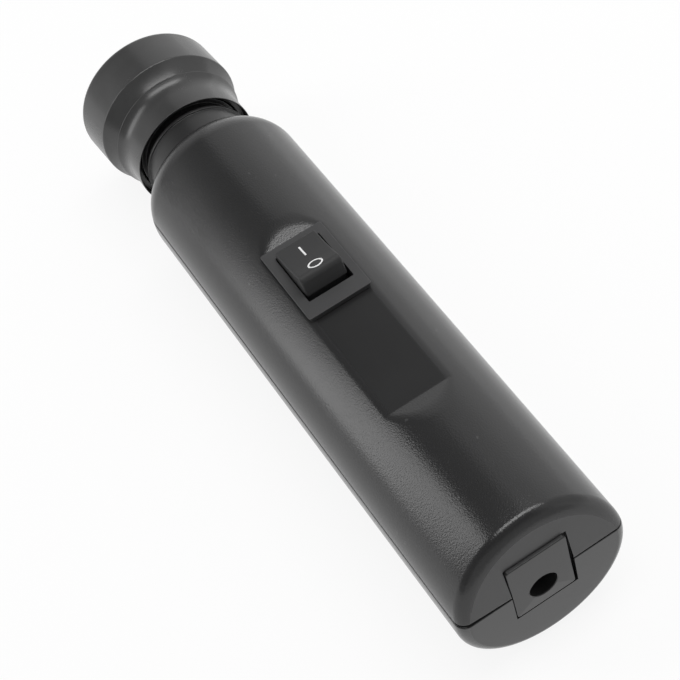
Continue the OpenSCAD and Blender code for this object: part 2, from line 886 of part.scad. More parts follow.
module wire_return() {
    x0 = jack_end_x + tab_len + lead_gap;
    x1 = board_x - lead_gap;
    wire([
        [x0, 0, spring_z], [x0 + lead_straight, 0, spring_z],
        [screw_xs[0] - boss_r, -2 * boss_r, 2 * spring_z],
        [screw_xs[0] + 2 * boss_r, -3 * boss_r, -3 * boss_r],
        [screw_xs[1], -3 * boss_r, -3 * boss_r], [switch_x, -3 * boss_r, -3 * boss_r],
        [screw_xs[2] - boss_r, -3 * boss_r, -3 * boss_r],
        [barrel_x - 2 * boss_r, -3 * boss_r, -2 * boss_r], [barrel_x + boss_r, -wire_hole_y, 0],
        [sink_x - lead_straight, -wire_hole_y, 0], [x1, -wire_hole_y, 0]
    ], "black");
}

upper_shell();
lower_shell();
case_screws();
jack_plate();
jack_body();
jack_pin();
jack_pin_tab();
jack_spring();
switch_housing();
rocker();
plunger();
plunger_spring();
contact_blade();
common_terminal();
load_terminal();
neck_barrel();
heat_sink();
led_board();
board_screws();
led_base();
led_dome();
reflector();
lens();
lens_ring();
rubber_cup();
resistor();
wire_feed();
wire_switched();
wire_ballast();
wire_return();
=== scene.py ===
"""Looks of the egg candling lamp: moulded shells, rubber cup, rocker switch and power inlet."""

import json
import math

import bmesh
import bpy
from bpy.props import FloatProperty, FloatVectorProperty, PointerProperty
from mathutils import Euler, Matrix, Vector


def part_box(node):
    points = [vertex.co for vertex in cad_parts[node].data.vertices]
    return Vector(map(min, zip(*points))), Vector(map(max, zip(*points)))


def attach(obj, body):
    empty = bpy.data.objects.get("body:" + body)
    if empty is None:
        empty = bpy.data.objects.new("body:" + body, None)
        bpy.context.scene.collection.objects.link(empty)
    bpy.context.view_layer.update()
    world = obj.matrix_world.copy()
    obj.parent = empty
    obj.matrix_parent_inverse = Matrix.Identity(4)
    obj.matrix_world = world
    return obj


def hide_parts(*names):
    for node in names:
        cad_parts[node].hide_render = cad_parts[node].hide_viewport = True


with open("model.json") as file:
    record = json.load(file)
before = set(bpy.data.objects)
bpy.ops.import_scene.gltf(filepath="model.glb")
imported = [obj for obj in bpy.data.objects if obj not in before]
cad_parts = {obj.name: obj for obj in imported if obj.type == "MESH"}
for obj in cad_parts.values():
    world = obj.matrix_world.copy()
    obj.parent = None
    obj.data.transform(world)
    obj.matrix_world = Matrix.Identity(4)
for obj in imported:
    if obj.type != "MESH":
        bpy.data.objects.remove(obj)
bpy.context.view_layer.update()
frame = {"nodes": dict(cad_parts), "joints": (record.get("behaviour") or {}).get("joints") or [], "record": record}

bl_info = {
    "name": "Egg candling lamp",
    "version": (1, 0, 0),
    "blender": (4, 5, 0),
    "location": "View3D > Sidebar > Candling lamp",
    "description": "Builds the lamp's moulded shells, cup, switch and inlet round the packed model",
    "category": "Object",
}

MM = 0.001

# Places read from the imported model
SHELL_LOW, SHELL_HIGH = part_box("lower_shell")
SWITCH_LOW, SWITCH_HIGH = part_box("switch_housing")
PLATE_LOW, PLATE_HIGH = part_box("jack_plate")
NECK_LOW, NECK_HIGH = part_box("neck_barrel")
CUP_LOW, CUP_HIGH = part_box("rubber_cup")
LENS_LOW, LENS_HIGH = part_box("lens")
RING_LOW, RING_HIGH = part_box("lens_ring")
BOWL_LOW, BOWL_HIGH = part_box("reflector")
REAR_X = SHELL_LOW[0]
BODY_R = SHELL_HIGH[1]
AXIS_Z = SHELL_LOW[2] + BODY_R
CUP_X = CUP_LOW[0] - REAR_X
SWITCH_X = (SWITCH_LOW[0] + SWITCH_HIGH[0]) / 2 - REAR_X
ROCKER_JOINT = next(j for j in frame["joints"] if j["name"] == "rocker_tilt")
PIVOT_Z = ROCKER_JOINT["pos_m"][2] - AXIS_Z
FLANGE_X = NECK_LOW[0] - REAR_X

# Sizes that several pieces share
CLEAR = 0.12 * MM  # fit of one piece in another
FLANGE_T = 2 * MM  # thickness of the neck's flange
RIB_T = 2 * MM  # thickness of the ribs on both sides of it
RING_W = 1.48 * MM  # width of the lens ring
OVER = 1 * MM  # reach of a cutter past what it cuts
WELD = 1e-7  # points closer than this are joined


# Settings


def length(name, description, millimetres):
    """A length that a user may change, given in millimetres."""
    return FloatProperty(name=name, description=description, default=millimetres * MM, unit="LENGTH")


def angle(name, description, degrees):
    """An angle that a user may change, given in degrees."""
    return FloatProperty(name=name, description=description, default=math.radians(degrees), subtype="ANGLE")


def colour(name, description, red, green, blue):
    """A linear colour that a user may change."""
    return FloatVectorProperty(
        name=name, description=description, default=(red, green, blue), subtype="COLOR", min=0, max=1
    )


class ShellSizes(bpy.types.PropertyGroup):
    """Sizes of the two half shells"""

    wall: length("Wall", "Thickness of the shells", 2)
    length: length("Length", "Rear face to the end of the shoulder curve", 135.2)
    shoulder_r: length("Shoulder radius", "Radius of the curve at the front", 8.9)
    split_h: length("Split height", "Split between the shells above the axis", 2.5)
    seam_gap: length("Seam gap", "Gap that shows along the split", 0.24)
    seam_round: length("Seam rounding", "Rounding of the shells' edges at the split", 0.3)
    upper_edge_r: length("Upper rear edge", "Radius of the upper shell's rear edge", 3)
    lower_edge_r: length("Lower rear edge", "Radius of the lower shell's rear edge", 2.4)
    ramp_soft: length("Ramp softness", "Extra softness of the edges at a ramp's end", 0.4)
    loop_step: angle("Loop step", "Turn between two loops of a shell", 0.66)
    tongue_t: length("Tongue reach", "Reach of the tongue into the wall", 0.75)
    tongue_h: length("Tongue height", "Height of the tongue above and below the split", 1.4)
    tongue_left_x: length("Left tongue", "Rear face to the start of the left tongue", 12)
    tongue_right_x: length("Right tongue", "Rear face to the start of the right tongue", 0.8)
    rear_lean: angle("Rear lean", "Forward lean of the upper shell's rear face above the split", 10)
    rear_shift: length("Rear shift", "How far the rear face stands behind the model's", 0.2)
    lean_reach: length("Lean reach", "Length of body over which the lean dies out", 25)
    gape: length("Gape", "How far the shells gape at the left rear corner", 0.7)
    flat_depth: length("Flat depth", "Depth of the flat below the top of the body", 1.5)
    flat_len: length("Flat length", "Length of the flat behind the switch", 28.6)
    ramp_len: length("Ramp length", "Length of the ramp at each end of the flat", 5.1)
    crease: length("Crease", "Softness of the edges of the flat", 0.4)
    neck_hole_r: length("Neck hole", "Radius of the hole for the neck", 13.22)
    plate_gap: length("Plate gap", "Gap round the inlet plate", 0.2)
    plate_gap_right: length("Right plate gap", "Gap at the plate's right side", 0.55)
    core_r: length("Core", "Radius inside which the rear wall is open", 4)
    boss_r: length("Boss radius", "Radius of the screw bosses", 3)
    well_r: length("Well radius", "Radius of the screw wells", 3)
    well_wall: length("Well wall", "Wall of the screw wells", 1.2)
    seat_depth: length("Screw seat", "Depth of the screw seats below the axis", 7)


class SwitchSizes(bpy.types.PropertyGroup):
    """Sizes of the rocker switch"""

    bezel_l: length("Bezel length", "Length of the bezel", 21)
    bezel_w: length("Bezel width", "Width of the bezel", 15)
    bezel_t: length("Bezel thickness", "Thickness of the bezel", 1.4)
    bezel_round: length("Bezel rounding", "Rounding of the bezel's outer edge", 0.15)
    corner_r: length("Corner radius", "Radius of the bezel's corners", 0.5)
    bezel_fall: length("Bezel fall", "Fall of the bezel's top towards its outer edge", 0.1)
    undercut: length("Undercut", "How far the bezel's outer wall draws in at its foot", 0.12)
    side_undercut: length("Side undercut", "How far the bezel's long walls draw in", 0.5)
    side: length("Side", "How far the switch sits left of the middle", 0.25)
    opening_l: length("Opening length", "Length of the opening", 14.2)
    opening_x: length("Opening place", "Middle of the opening ahead of the pivot", 0.6)
    opening_w: length("Opening width", "Width of the opening", 10.7)
    opening_y: length("Opening side", "Middle of the opening left of the bezel's", -0.2)
    case_l: length("Case length", "Length of the case below the bezel", 18.8)
    case_w: length("Case width", "Width of the case below the bezel", 12.8)
    case_d: length("Case depth", "Depth of the case below the bezel", 11)
    floor_t: length("Floor", "Thickness of the case's floor", 1.5)
    rocker_front: length("Rocker front", "Reach of the rocker ahead of the pivot", 6.95)
    rocker_rear: length("Rocker rear", "Reach of the rocker behind the pivot", 5.7)
    rocker_w: length("Rocker width", "Width of the rocker", 9.8)
    rocker_h: length("Rocker height", "Height of the ridges above the pivot", 5.7)
    rear_wall: length("Rear wall", "Height of the rocker's rear wall below its ridge", 5)
    rear_ledge: length("Rear ledge", "How far the rocker draws in under its rear wall", 1)
    front_drop: length("Front drop", "How much lower the front ridge is", 0.35)
    rocker_base: length("Rocker base", "Depth of the rocker below the pivot", 1.6)
    rocker_dip: length("Rocker dip", "Depth of the hollow in the top", 0.85)
    front_ridge_r: length("Front ridge", "Rounding of the rocker's front ridge", 0.55)
    rear_ridge_r: length("Rear ridge", "Rounding of the rocker's rear ridge", 1.35)
    knee: length("Knee", "Where the hollow top turns straight, behind the pivot", 2.4)
    side_r: length("Side radius", "Rounding of the rocker's long edges", 0.4)
    tilt: angle("Tilt", "Tilt of the rocker at rest, front down", 13)
    bar_l: length("Bar length", "Length of the on mark", 3.3)
    bar_w: length("Bar width", "Width of the on mark", 0.4)
    bar_x: length("Bar place", "On mark ahead of the pivot", 2.95)
    bar_y: length("Bar side", "On mark left of the middle", 0.1)
    oval_w: length("Oval width", "Width of the off mark", 3.5)
    oval_l: length("Oval length", "Length of the off mark", 3.0)
    oval_x: length("Oval place", "Off mark behind the pivot", 3.1)
    oval_y: length("Oval side", "Off mark left of the middle", 0)
    stroke: length("Stroke", "Line width of the off mark", 0.38)
    ink_t: length("Ink", "Thickness of the printed marks", 0.03)


class CupSizes(bpy.types.PropertyGroup):
    """Sizes of the neck and the rubber cup"""

    neck_r: length("Neck radius", "Radius of the neck", 13.1)
    neck_wall: length("Neck wall", "Wall of the neck", 1.8)
    neck_more: length("Neck end", "How far the neck reaches on into the cup", 0.8)
    bead_h: length("Bead height", "Height of the fine bead on the neck", 0.35)
    neck_groove: length("Neck groove", "Depth of the groove in front of the bead", 1.2)
    bead_len: length("Bead length", "Length of the fine bead", 0.8)
    skirt_r: length("Skirt radius", "Radius of the cup's skirt", 15)
    skirt_len: length("Skirt length", "Straight part of the skirt", 4.5)
    skirt_t: length("Skirt edge", "Thickness of the skirt's edge", 0.25)
    hollow: length("Hollow", "Depth of the hollow under the skirt", 2.6)
    step_x: length("Step place", "Skirt's end to the fine step", 9.2)
    step_r: length("Step radius", "Radius at the fine step", 16.2)
    step_h: length("Step height", "Height of the fine step", 0.2)
    lip_r: length("Lip radius", "Radius of the lip", 17.75)
    lip_len: length("Lip length", "Length of the lip band", 10.6)
    flank_r: length("Flank", "Radius of the hollow flank behind the lip", 18)
    flank_low: angle("Flank foot", "Slope of the flank at its foot", 27)
    flank_high: angle("Flank top", "Slope of the flank at the lip", 41)
    lip_round: length("Lip rounding", "Rounding of the lip's front edge", 1.2)
    lip_t: length("Lip thickness", "Thickness of the lip at its mouth", 1.9)
    stop_x: length("Stop place", "Skirt's end to the stop inside", 14.92)
    stop_t: length("Stop thickness", "Thickness of the stop inside", 1.5)
    stop_r: length("Stop radius", "Radius of the hole in the stop", 10.6)
    free_x: length("Free part", "Skirt's end to the part that the neck doesn't hold", 9)
    sway: length("Sway", "How far the soft lip hangs to the left", 0.65)
    stretch: length("Stretch", "How far the soft lip is drawn forwards", 0.85)


class InletSizes(bpy.types.PropertyGroup):
    """Sizes of the power inlet's plate"""

    plate_w: length("Plate width", "Width of the plate", 13.4)
    plate_h: length("Plate height", "Height of the plate", 16.4)
    plate_y: length("Plate side", "Plate and hole left of the middle", 0.45)
    plate_z: length("Plate place", "Middle of the plate above the axis", 2.45)
    hole_z: length("Hole place", "Plug hole above the axis", 0.1)
    lean: angle("Plate lean", "Forward lean of the plate above the split", 5)
    front_t: length("Front thickness", "Depth of the plate in the rear wall", 2.12)
    corner_r: length("Corner radius", "Radius of the plate's corners", 0.6)
    edge_r: length("Edge rounding", "Rounding of the plate's front edge", 0.22)
    hole_r: length("Plug hole", "Radius of the plug hole", 3.15)
    hole_edge: length("Hole edge", "Broken edge of the plug hole", 0.15)


class FinishColours(bpy.types.PropertyGroup):
    """Colours of the finishes"""

    body: colour("Body", "Grained black plastic", 0.0255, 0.0255, 0.0259)
    # Painted shade: a darker copy of the body's black plastic, which makes the flat and the lower rear face read
    # as shaded.
    panel: colour("Panel", "Smooth black plastic of flat and lower rear face", 0.0125, 0.0125, 0.0128)
    inlet: colour("Inlet", "Smooth black plastic of the inlet's plate and the neck", 0.0195, 0.0195, 0.0198)
    # Painted light: a lighter copy of the body's black plastic, which makes the upper rear face read as lit.
    rear: colour("Rear", "Smooth black plastic of the upper rear face", 0.0440, 0.0440, 0.0446)
    switch: colour("Switch", "Black plastic of the switch", 0.024, 0.024, 0.0245)
    bezel: colour("Bezel", "Dark grey plastic of the bezel", 0.04, 0.04, 0.041)
    rubber: colour("Rubber", "Black rubber of the cup", 0.0435, 0.0435, 0.0435)
    ink: colour("Ink", "White print on the rocker", 0.8, 0.8, 0.8)
    steel: colour("Steel", "Zinc plated steel", 0.55, 0.56, 0.58)
    brass: colour("Brass", "Contacts and tabs", 0.72, 0.5, 0.2)
    alloy: colour("Alloy", "Heat sink and reflector", 0.8, 0.81, 0.83)
    floor: colour("Floor", "Pale floor", 0.9, 0.9, 0.9)


class StageSizes(bpy.types.PropertyGroup):
    """Camera and lights"""

    lens: FloatProperty(name="Lens", description="Focal length", default=90.575, unit="CAMERA")
    place: FloatVectorProperty(
        name="Camera place", description="Where the camera stands", unit="LENGTH",
        default=(-0.22204, 0.061097, 0.308865),
    )
    turn: FloatVectorProperty(
        name="Camera turn", description="How the camera is turned", subtype="EULER",
        default=(math.radians(35.6384), math.radians(11.5303), math.radians(-121.2683)),
    )
    key: FloatProperty(name="Key", description="Power of the left softbox", default=0.98, unit="POWER")
    fill: FloatProperty(name="Fill", description="Power of the right softbox", default=1.44, unit="POWER")
    top: FloatProperty(name="Top", description="Power of the overhead softbox", default=4.38, unit="POWER")
    ambient: FloatProperty(name="Ambient", description="Strength of the world's soft light", default=0.37)


# Shader maths


class Value:
    """A socket of a node tree; arithmetic on it adds Math nodes."""

    def __init__(self, tree, socket):
        self.tree = tree
        self.socket = socket

    def math(self, operation, first, second):
        """Adds a Math node."""
        return self.tree.node("ShaderNodeMath", {"operation": operation}, {0: first, 1: second})

    def __add__(self, other):
        return self.math("ADD", self, other)

    def __sub__(self, other):
        return self.math("SUBTRACT", self, other)

    def __rsub__(self, other):
        return self.math("SUBTRACT", other, self)

    def __mul__(self, other):
        return self.math("MULTIPLY", self, other)

    __radd__ = __add__
    __rmul__ = __mul__

    def either(self, other):
        """Larger of the two values."""
        return self.math("MAXIMUM", self, other)


class Tree:
    """Makes and links the nodes of one node tree."""

    def __init__(self, nodes):
        self.tree = nodes
        self.tree.nodes.clear()

    def node(self, kind, settings=None, sockets=None, output=0):
        """Adds a node: its settings first, then the values or links of its sockets."""
        made = self.tree.nodes.new(kind)
        for name, setting in (settings or {}).items():
            if name == "stops":
                self.set_stops(made.color_ramp, setting)
            else:
                setattr(made, name, setting)
        for name, given in (sockets or {}).items():
            if isinstance(given, Value):
                self.tree.links.new(given.socket, made.inputs[name])
            elif given is not None:
                made.inputs[name].default_value = given
        return Value(self, made.outputs[output]) if made.outputs else made

    @staticmethod
    def set_stops(ramp, stops):
        """Gives a colour ramp its places and grey levels."""
        while len(ramp.elements) < len(stops):
            ramp.elements.new(1)
        for element, (position, level) in zip(ramp.elements, stops):
            element.position = position
            element.color = (level, level, level, 1)

    def mix_colour(self, factor, first, second):
        """Colour between two colours; sockets 0, 6 and 7 of the node are those for colours."""
        return self.node("ShaderNodeMix", {"data_type": "RGBA"}, {0: factor, 6: first, 7: second}, 2)

    def place(self):
        """Object coordinates, which stay with the piece."""
        return self.node("ShaderNodeTexCoord", output=3)

    def noise(self, scale, detail=3, stretch=None):
        """Noise whose features are about 1 / scale metres across."""
        where = self.place()
        if stretch:
            where = self.node("ShaderNodeMapping", None, {"Vector": where, "Scale": stretch})
        sockets = {"Vector": where, "Scale": scale, "Detail": detail}
        return self.node("ShaderNodeTexNoise", None, sockets)

    def ramp(self, value, stops):
        """Grey level of a value between stops."""
        return self.node("ShaderNodeValToRGB", {"stops": stops}, {"Fac": value})

    def bump(self, height, distance, strength=1.0):
        """Normal bent by a height."""
        sockets = {"Height": height, "Distance": distance, "Strength": strength}
        return self.node("ShaderNodeBump", None, sockets)

    def rays(self):
        """Whether a ray comes from the camera, and whether it was mirrored or let through."""
        seen = self.node("ShaderNodeLightPath").socket.node.outputs
        mirrored = Value(self, seen["Is Glossy Ray"]).either(Value(self, seen["Is Transmission Ray"]))
        return Value(self, seen["Is Camera Ray"]), mirrored


# Finishes


def rgba(tint, scale=1.0):
    """Opaque colour, scaled."""
    return (tint[0] * scale, tint[1] * scale, tint[2] * scale, 1)


class Finish(Tree):
    """A material and its node tree."""

    def __init__(self, name):
        self.material = bpy.data.materials.new(name)
        self.material.use_nodes = True
        super().__init__(self.material.node_tree)

    def surface(self, **sockets):
        """Ends the tree in a Principled shader, whose socket names have spaces for underscores."""
        named = {name.replace("_", " "): given for name, given in sockets.items()}
        shader = self.node("ShaderNodeBsdfPrincipled", None, named)
        self.node("ShaderNodeOutputMaterial", None, {"Surface": shader})
        return self.material


def grained_plastic(name, tint):
    """Black plastic with the fine mottled grain of a spark-eroded mould."""
    f = Finish(name)
    grain = f.noise(3100, 1)
    cloud = f.noise(60, 3)
    speck = f.ramp(f.noise(700, 0), [(0, 0), (0.84, 0), (0.87, 1)])
    base = f.mix_colour(cloud, rgba(tint, 0.85), rgba(tint, 1.15))
    base = f.mix_colour(speck * 0.25, base, rgba((0.12, 0.12, 0.12)))
    rough = 0.165 + cloud * 0.05 + grain * 0.05
    return f.surface(Base_Color=base, Roughness=rough, Normal=f.bump(grain, 0.034 * MM))


def smooth_plastic(name, tint, roughness):
    """Black plastic from a polished or blasted mould face, with a faint cloud and fine rubs."""
    f = Finish(name)
    cloud = f.noise(90, 4)
    rub = f.noise(900, 3, (0.15, 1, 1))
    base = f.mix_colour(cloud, rgba(tint, 0.9), rgba(tint, 1.1))
    rough = roughness - 0.04 + cloud * 0.06 + rub * 0.02
    return f.surface(Base_Color=base, Roughness=rough, Normal=f.bump(f.noise(2200, 2), 0.01 * MM, 0.25))


def soft_rubber(name, tint):
    """Matt rubber with a powdery bloom."""
    f = Finish(name)
    bloom = f.noise(130, 4)
    pores = f.noise(4200, 2)
    base = f.mix_colour(bloom, rgba(tint, 0.8), rgba(tint, 1.3))
    rough = 0.2 + bloom * 0.08 + pores * 0.03
    return f.surface(Base_Color=base, Roughness=rough, Normal=f.bump(pores, 0.01 * MM, 0.3))


def plated_metal(name, tint, roughness):
    """Metal with fine drawn lines along X and a slight tarnish."""
    f = Finish(name)
    lines = f.noise(2500, 2, (0.05, 1, 1))
    tarnish = f.noise(220, 3)
    base = f.mix_colour(tarnish, rgba(tint, 0.82), rgba(tint, 1.0))
    rough = roughness - 0.06 + lines * 0.1 + tarnish * 0.05
    return f.surface(Base_Color=base, Metallic=1.0, Roughness=rough)


def printed_ink(name, tint):
    """White print with a slightly uneven edge to its gloss."""
    f = Finish(name)
    wear = f.noise(3000, 2)
    base = f.mix_colour(wear, rgba(tint, 0.92), rgba(tint, 1.0))
    return f.surface(Base_Color=base, Roughness=0.4 + wear * 0.1)


def clear_plastic(name):
    """Clear lens material."""
    f = Finish(name)
    rough = 0.02 + f.noise(400, 2) * 0.03
    return f.surface(Base_Color=(1, 1, 1, 1), Roughness=rough, Transmission_Weight=1.0, IOR=1.49)


def lacquer(name, tint):
    """Coloured plastic, lacquer or insulation with a faint cloud."""
    f = Finish(name)
    cloud = f.noise(500, 3)
    base = f.mix_colour(cloud, rgba(tint, 0.85), rgba(tint, 1.0))
    return f.surface(Base_Color=base, Roughness=0.4 + cloud * 0.08)


FINISHES = {}


def finish(name):
    """A finish by name, made once from its maker, colour and roughness."""
    colours = bpy.context.scene.lamp_colours
    makers = {
        "grained_plastic": (grained_plastic, colours.body),
        # Painted shade: the flat and the lower rear face in a darker copy of the black plastic.
        "panel_plastic": (smooth_plastic, colours.panel, 0.31),
        # Painted light: the upper rear face in a lighter copy of the black plastic.
        "rear_plastic": (smooth_plastic, colours.rear, 0.34),
        "inlet_plastic": (smooth_plastic, colours.inlet, 0.32),
        "switch_plastic": (smooth_plastic, colours.switch, 0.62),
        "bezel_plastic": (smooth_plastic, colours.bezel, 0.5),
        "soft_rubber": (soft_rubber, colours.rubber),
        "printed_ink": (printed_ink, colours.ink),
        "steel": (plated_metal, colours.steel, 0.35),
        "brass": (plated_metal, colours.brass, 0.3),
        "alloy": (plated_metal, colours.alloy, 0.4),
        "mirror_coat": (plated_metal, colours.alloy, 0.12),
        "clear": (clear_plastic,),
        "board_white": (lacquer, (0.8, 0.8, 0.78)),
        "emitter": (lacquer, (0.8, 0.6, 0.12)),
        "resistor_tan": (lacquer, (0.55, 0.38, 0.2)),
        "wire_red": (lacquer, (0.45, 0.02, 0.02)),
        "wire_orange": (lacquer, (0.6, 0.18, 0.02)),
        "wire_black": (lacquer, (0.02, 0.02, 0.02)),
    }
    if name not in FINISHES:
        maker, *given = makers[name]
        FINISHES[name] = maker(name, *given)
    return FINISHES[name]


# Outlines, lofts and lathes


def spread(low, high, step):
    """Evenly spaced values from low to high, about a step apart."""
    count = max(1, round((high - low) / step))
    return [low + (high - low) * k / count for k in range(count + 1)]


def quarter(steps):
    """Angles of a quarter turn in radians."""
    return [math.radians(90 * k / steps) for k in range(steps + 1)]


def full_turn(count):
    """Angles of a full turn in radians, without its end."""
    return [2 * math.pi * k / count for k in range(count)]


def rounded(points, radii, steps=5):
    """Closed outline with each corner turned into an arc of its own radius."""
    out = []
    count = len(points)
    for i, radius in enumerate(radii):
        here = Vector(points[i])
        back = (Vector(points[i - 1]) - here).normalized()
        ahead = (Vector(points[(i + 1) % count]) - here).normalized()
        if radius == 0:
            out.append(tuple(here))
            continue
        half = back.angle(ahead) / 2
        reach = radius / math.tan(half)
        start, end = here + back * reach, here + ahead * reach
        centre = here + (back + ahead).normalized() * (radius / math.sin(half))
        first, last = start - centre, end - centre
        turn = first.angle_signed(last)
        for k in range(steps + 1):
            out.append(tuple(centre + Matrix.Rotation(-turn * k / steps, 2) @ first))
    return out


def mesh_of(name, loops, closed=False):
    """Skin over loops of equal length, with faces over the first and last unless it closes on itself."""
    made = bmesh.new()
    rows = [[made.verts.new(point) for point in loop] for loop in loops]
    size = len(rows[0])
    pairs = list(zip(rows, rows[1:]))
    if closed:
        pairs.append((rows[-1], rows[0]))
    for low, high in pairs:
        for j in range(size):
            k = (j + 1) % size
            made.faces.new((low[j], low[k], high[k], high[j]))
    if not closed:
        made.faces.new(rows[0][::-1])
        made.faces.new(rows[-1])
    bmesh.ops.remove_doubles(made, verts=made.verts, dist=WELD)
    bmesh.ops.recalc_face_normals(made, faces=made.faces)
    mesh = bpy.data.meshes.new(name)
    made.to_mesh(mesh)
    made.free()
    return mesh


def shown(name, mesh, *materials):
    """Puts a mesh into the scene as an object at the origin."""
    mesh.name = name
    piece = bpy.data.objects.new(name, mesh)
    bpy.context.scene.collection.objects.link(piece)
    mesh.materials.clear()
    for material in materials:
        mesh.materials.append(material)
    return piece


def skin(name, loops, *materials):
    """Puts the skin over some loops into the scene."""
    return shown(name, mesh_of(name, loops), *materials)


def with_modifiers(piece):
    """Turns the object's modifiers into plain mesh."""
    graph = bpy.context.evaluated_depsgraph_get()
    mesh = bpy.data.meshes.new_from_object(piece.evaluated_get(graph))
    piece.modifiers.clear()
    piece.data = mesh
    return piece


def combine(piece, other, operation):
    """Cuts another object from the piece, or adds it, and removes the other."""
    step = piece.modifiers.new(operation.lower(), "BOOLEAN")
    step.operation = operation
    step.solver = "EXACT"
    step.object = other
    with_modifiers(piece)
    bpy.data.objects.remove(other)


def smooth(piece, degrees=35, flat_faces=True):
    """Smooth shading with sharp edges past an angle, and flat faces kept flat if wanted."""
    piece.data.shade_smooth()
    piece.data.set_sharp_from_angle(angle=math.radians(degrees))
    if not flat_faces:
        return piece
    step = piece.modifiers.new("even_shading", "WEIGHTED_NORMAL")
    step.keep_sharp = True
    step.weight = 80
    return with_modifiers(piece)


def dress(piece, node, body):
    """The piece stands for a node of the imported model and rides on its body."""
    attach(piece, body)
    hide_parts(node)


def lamp_point(x, y, z):
    """Point given from the rear face and the axis."""
    return (REAR_X + x, y, AXIS_Z + z)


def lathe(name, outline, segments):
    """Turns a closed outline of (distance, radius) about the lamp's axis."""
    loops = []
    for turn in full_turn(segments):
        loops.append([lamp_point(x, r * math.cos(turn), r * math.sin(turn)) for x, r in outline])
    return mesh_of(name, loops, closed=True)


def turning(name, outline, look, segments=160):
    """Puts a turned piece with its finish into the scene."""
    return shown(name, lathe(name, outline, segments), finish(look))


def block(name, low, high):
    """Box used to cut a piece, from its lamp-frame corners."""
    xs, ys, zs = zip(low, high)
    corners = [(xs[0], ys[0]), (xs[1], ys[0]), (xs[1], ys[1]), (xs[0], ys[1])]
    loops = [[lamp_point(x, y, z) for x, y in corners] for z in zs]
    return skin(name, loops)


def turned_up(name, places, outline, segments=48):
    """Turns a closed outline of (radius, height) about upright axes at several distances."""
    parts = bmesh.new()
    for x in places:
        loops = []
        for turn in full_turn(segments):
            loops.append([lamp_point(x + r * math.cos(turn), r * math.sin(turn), z) for r, z in outline])
        single = mesh_of(name, loops, closed=True)
        parts.from_mesh(single)
        bpy.data.meshes.remove(single)
    mesh = bpy.data.meshes.new(name)
    parts.to_mesh(mesh)
    parts.free()
    return shown(name, mesh)


def arc(centre, radius, start, end, steps):
    """Points of an arc in (distance, radius), angles in degrees from the distance axis."""
    points = []
    for k in range(steps + 1):
        a = math.radians(start + (end - start) * k / steps)
        points.append((centre[0] + radius * math.cos(a), centre[1] + radius * math.sin(a)))
    return points


def soft_least(first, second, softness):
    """Smaller of two values, blended where they are close."""
    near = max(softness - abs(first - second), 0) / softness
    return min(first, second) - near * near * softness / 4


# Half shells


def shell_outline(s, edge_r, stations):
    """Closed outline of a shell's wall in (distance, radius), and how many points lie outside."""
    inner_r = BODY_R - s.wall
    bend_x = s.length - s.shoulder_r
    rise = s.neck_hole_r - (BODY_R - s.shoulder_r)
    stop = math.degrees(math.asin(rise / s.shoulder_r))
    inner_stop = math.degrees(math.asin(rise / (s.shoulder_r - s.wall)))
    bend = (bend_x, BODY_R - s.shoulder_r)
    outside = [(0, s.core_r), (0, BODY_R - 2 * edge_r)]
    outside += arc((edge_r, BODY_R - edge_r), edge_r, 180, 90, steps=20)
    outside += [(x, BODY_R) for x in stations if edge_r < x < bend_x]
    outside += arc(bend, s.shoulder_r, 90, stop, steps=28)
    ribs = [FLANGE_X + FLANGE_T + CLEAR, FLANGE_X - CLEAR - RIB_T]
    inside = arc(bend, s.shoulder_r - s.wall, inner_stop, 90, steps=10)
    for x in ribs:
        inside += [(x + RIB_T, inner_r), (x + RIB_T, s.neck_hole_r), (x, s.neck_hole_r), (x, inner_r)]
    inside += [(s.wall, inner_r), (s.wall, s.core_r)]
    return outside + inside, len(outside)


def flat_ends(s):
    """Distances of the flat's rear and front ends from the rear face."""
    half = bpy.context.scene.lamp_switch.bezel_l / 2
    return SWITCH_X - half - s.flat_len, SWITCH_X + half


def flat_height(s, x):
    """Height of the flat above the axis, rising along the ramp at each end."""
    rear, front = flat_ends(s)
    past = max(rear - x, x - front, 0)
    return BODY_R - s.flat_depth + s.flat_depth * past / s.ramp_len


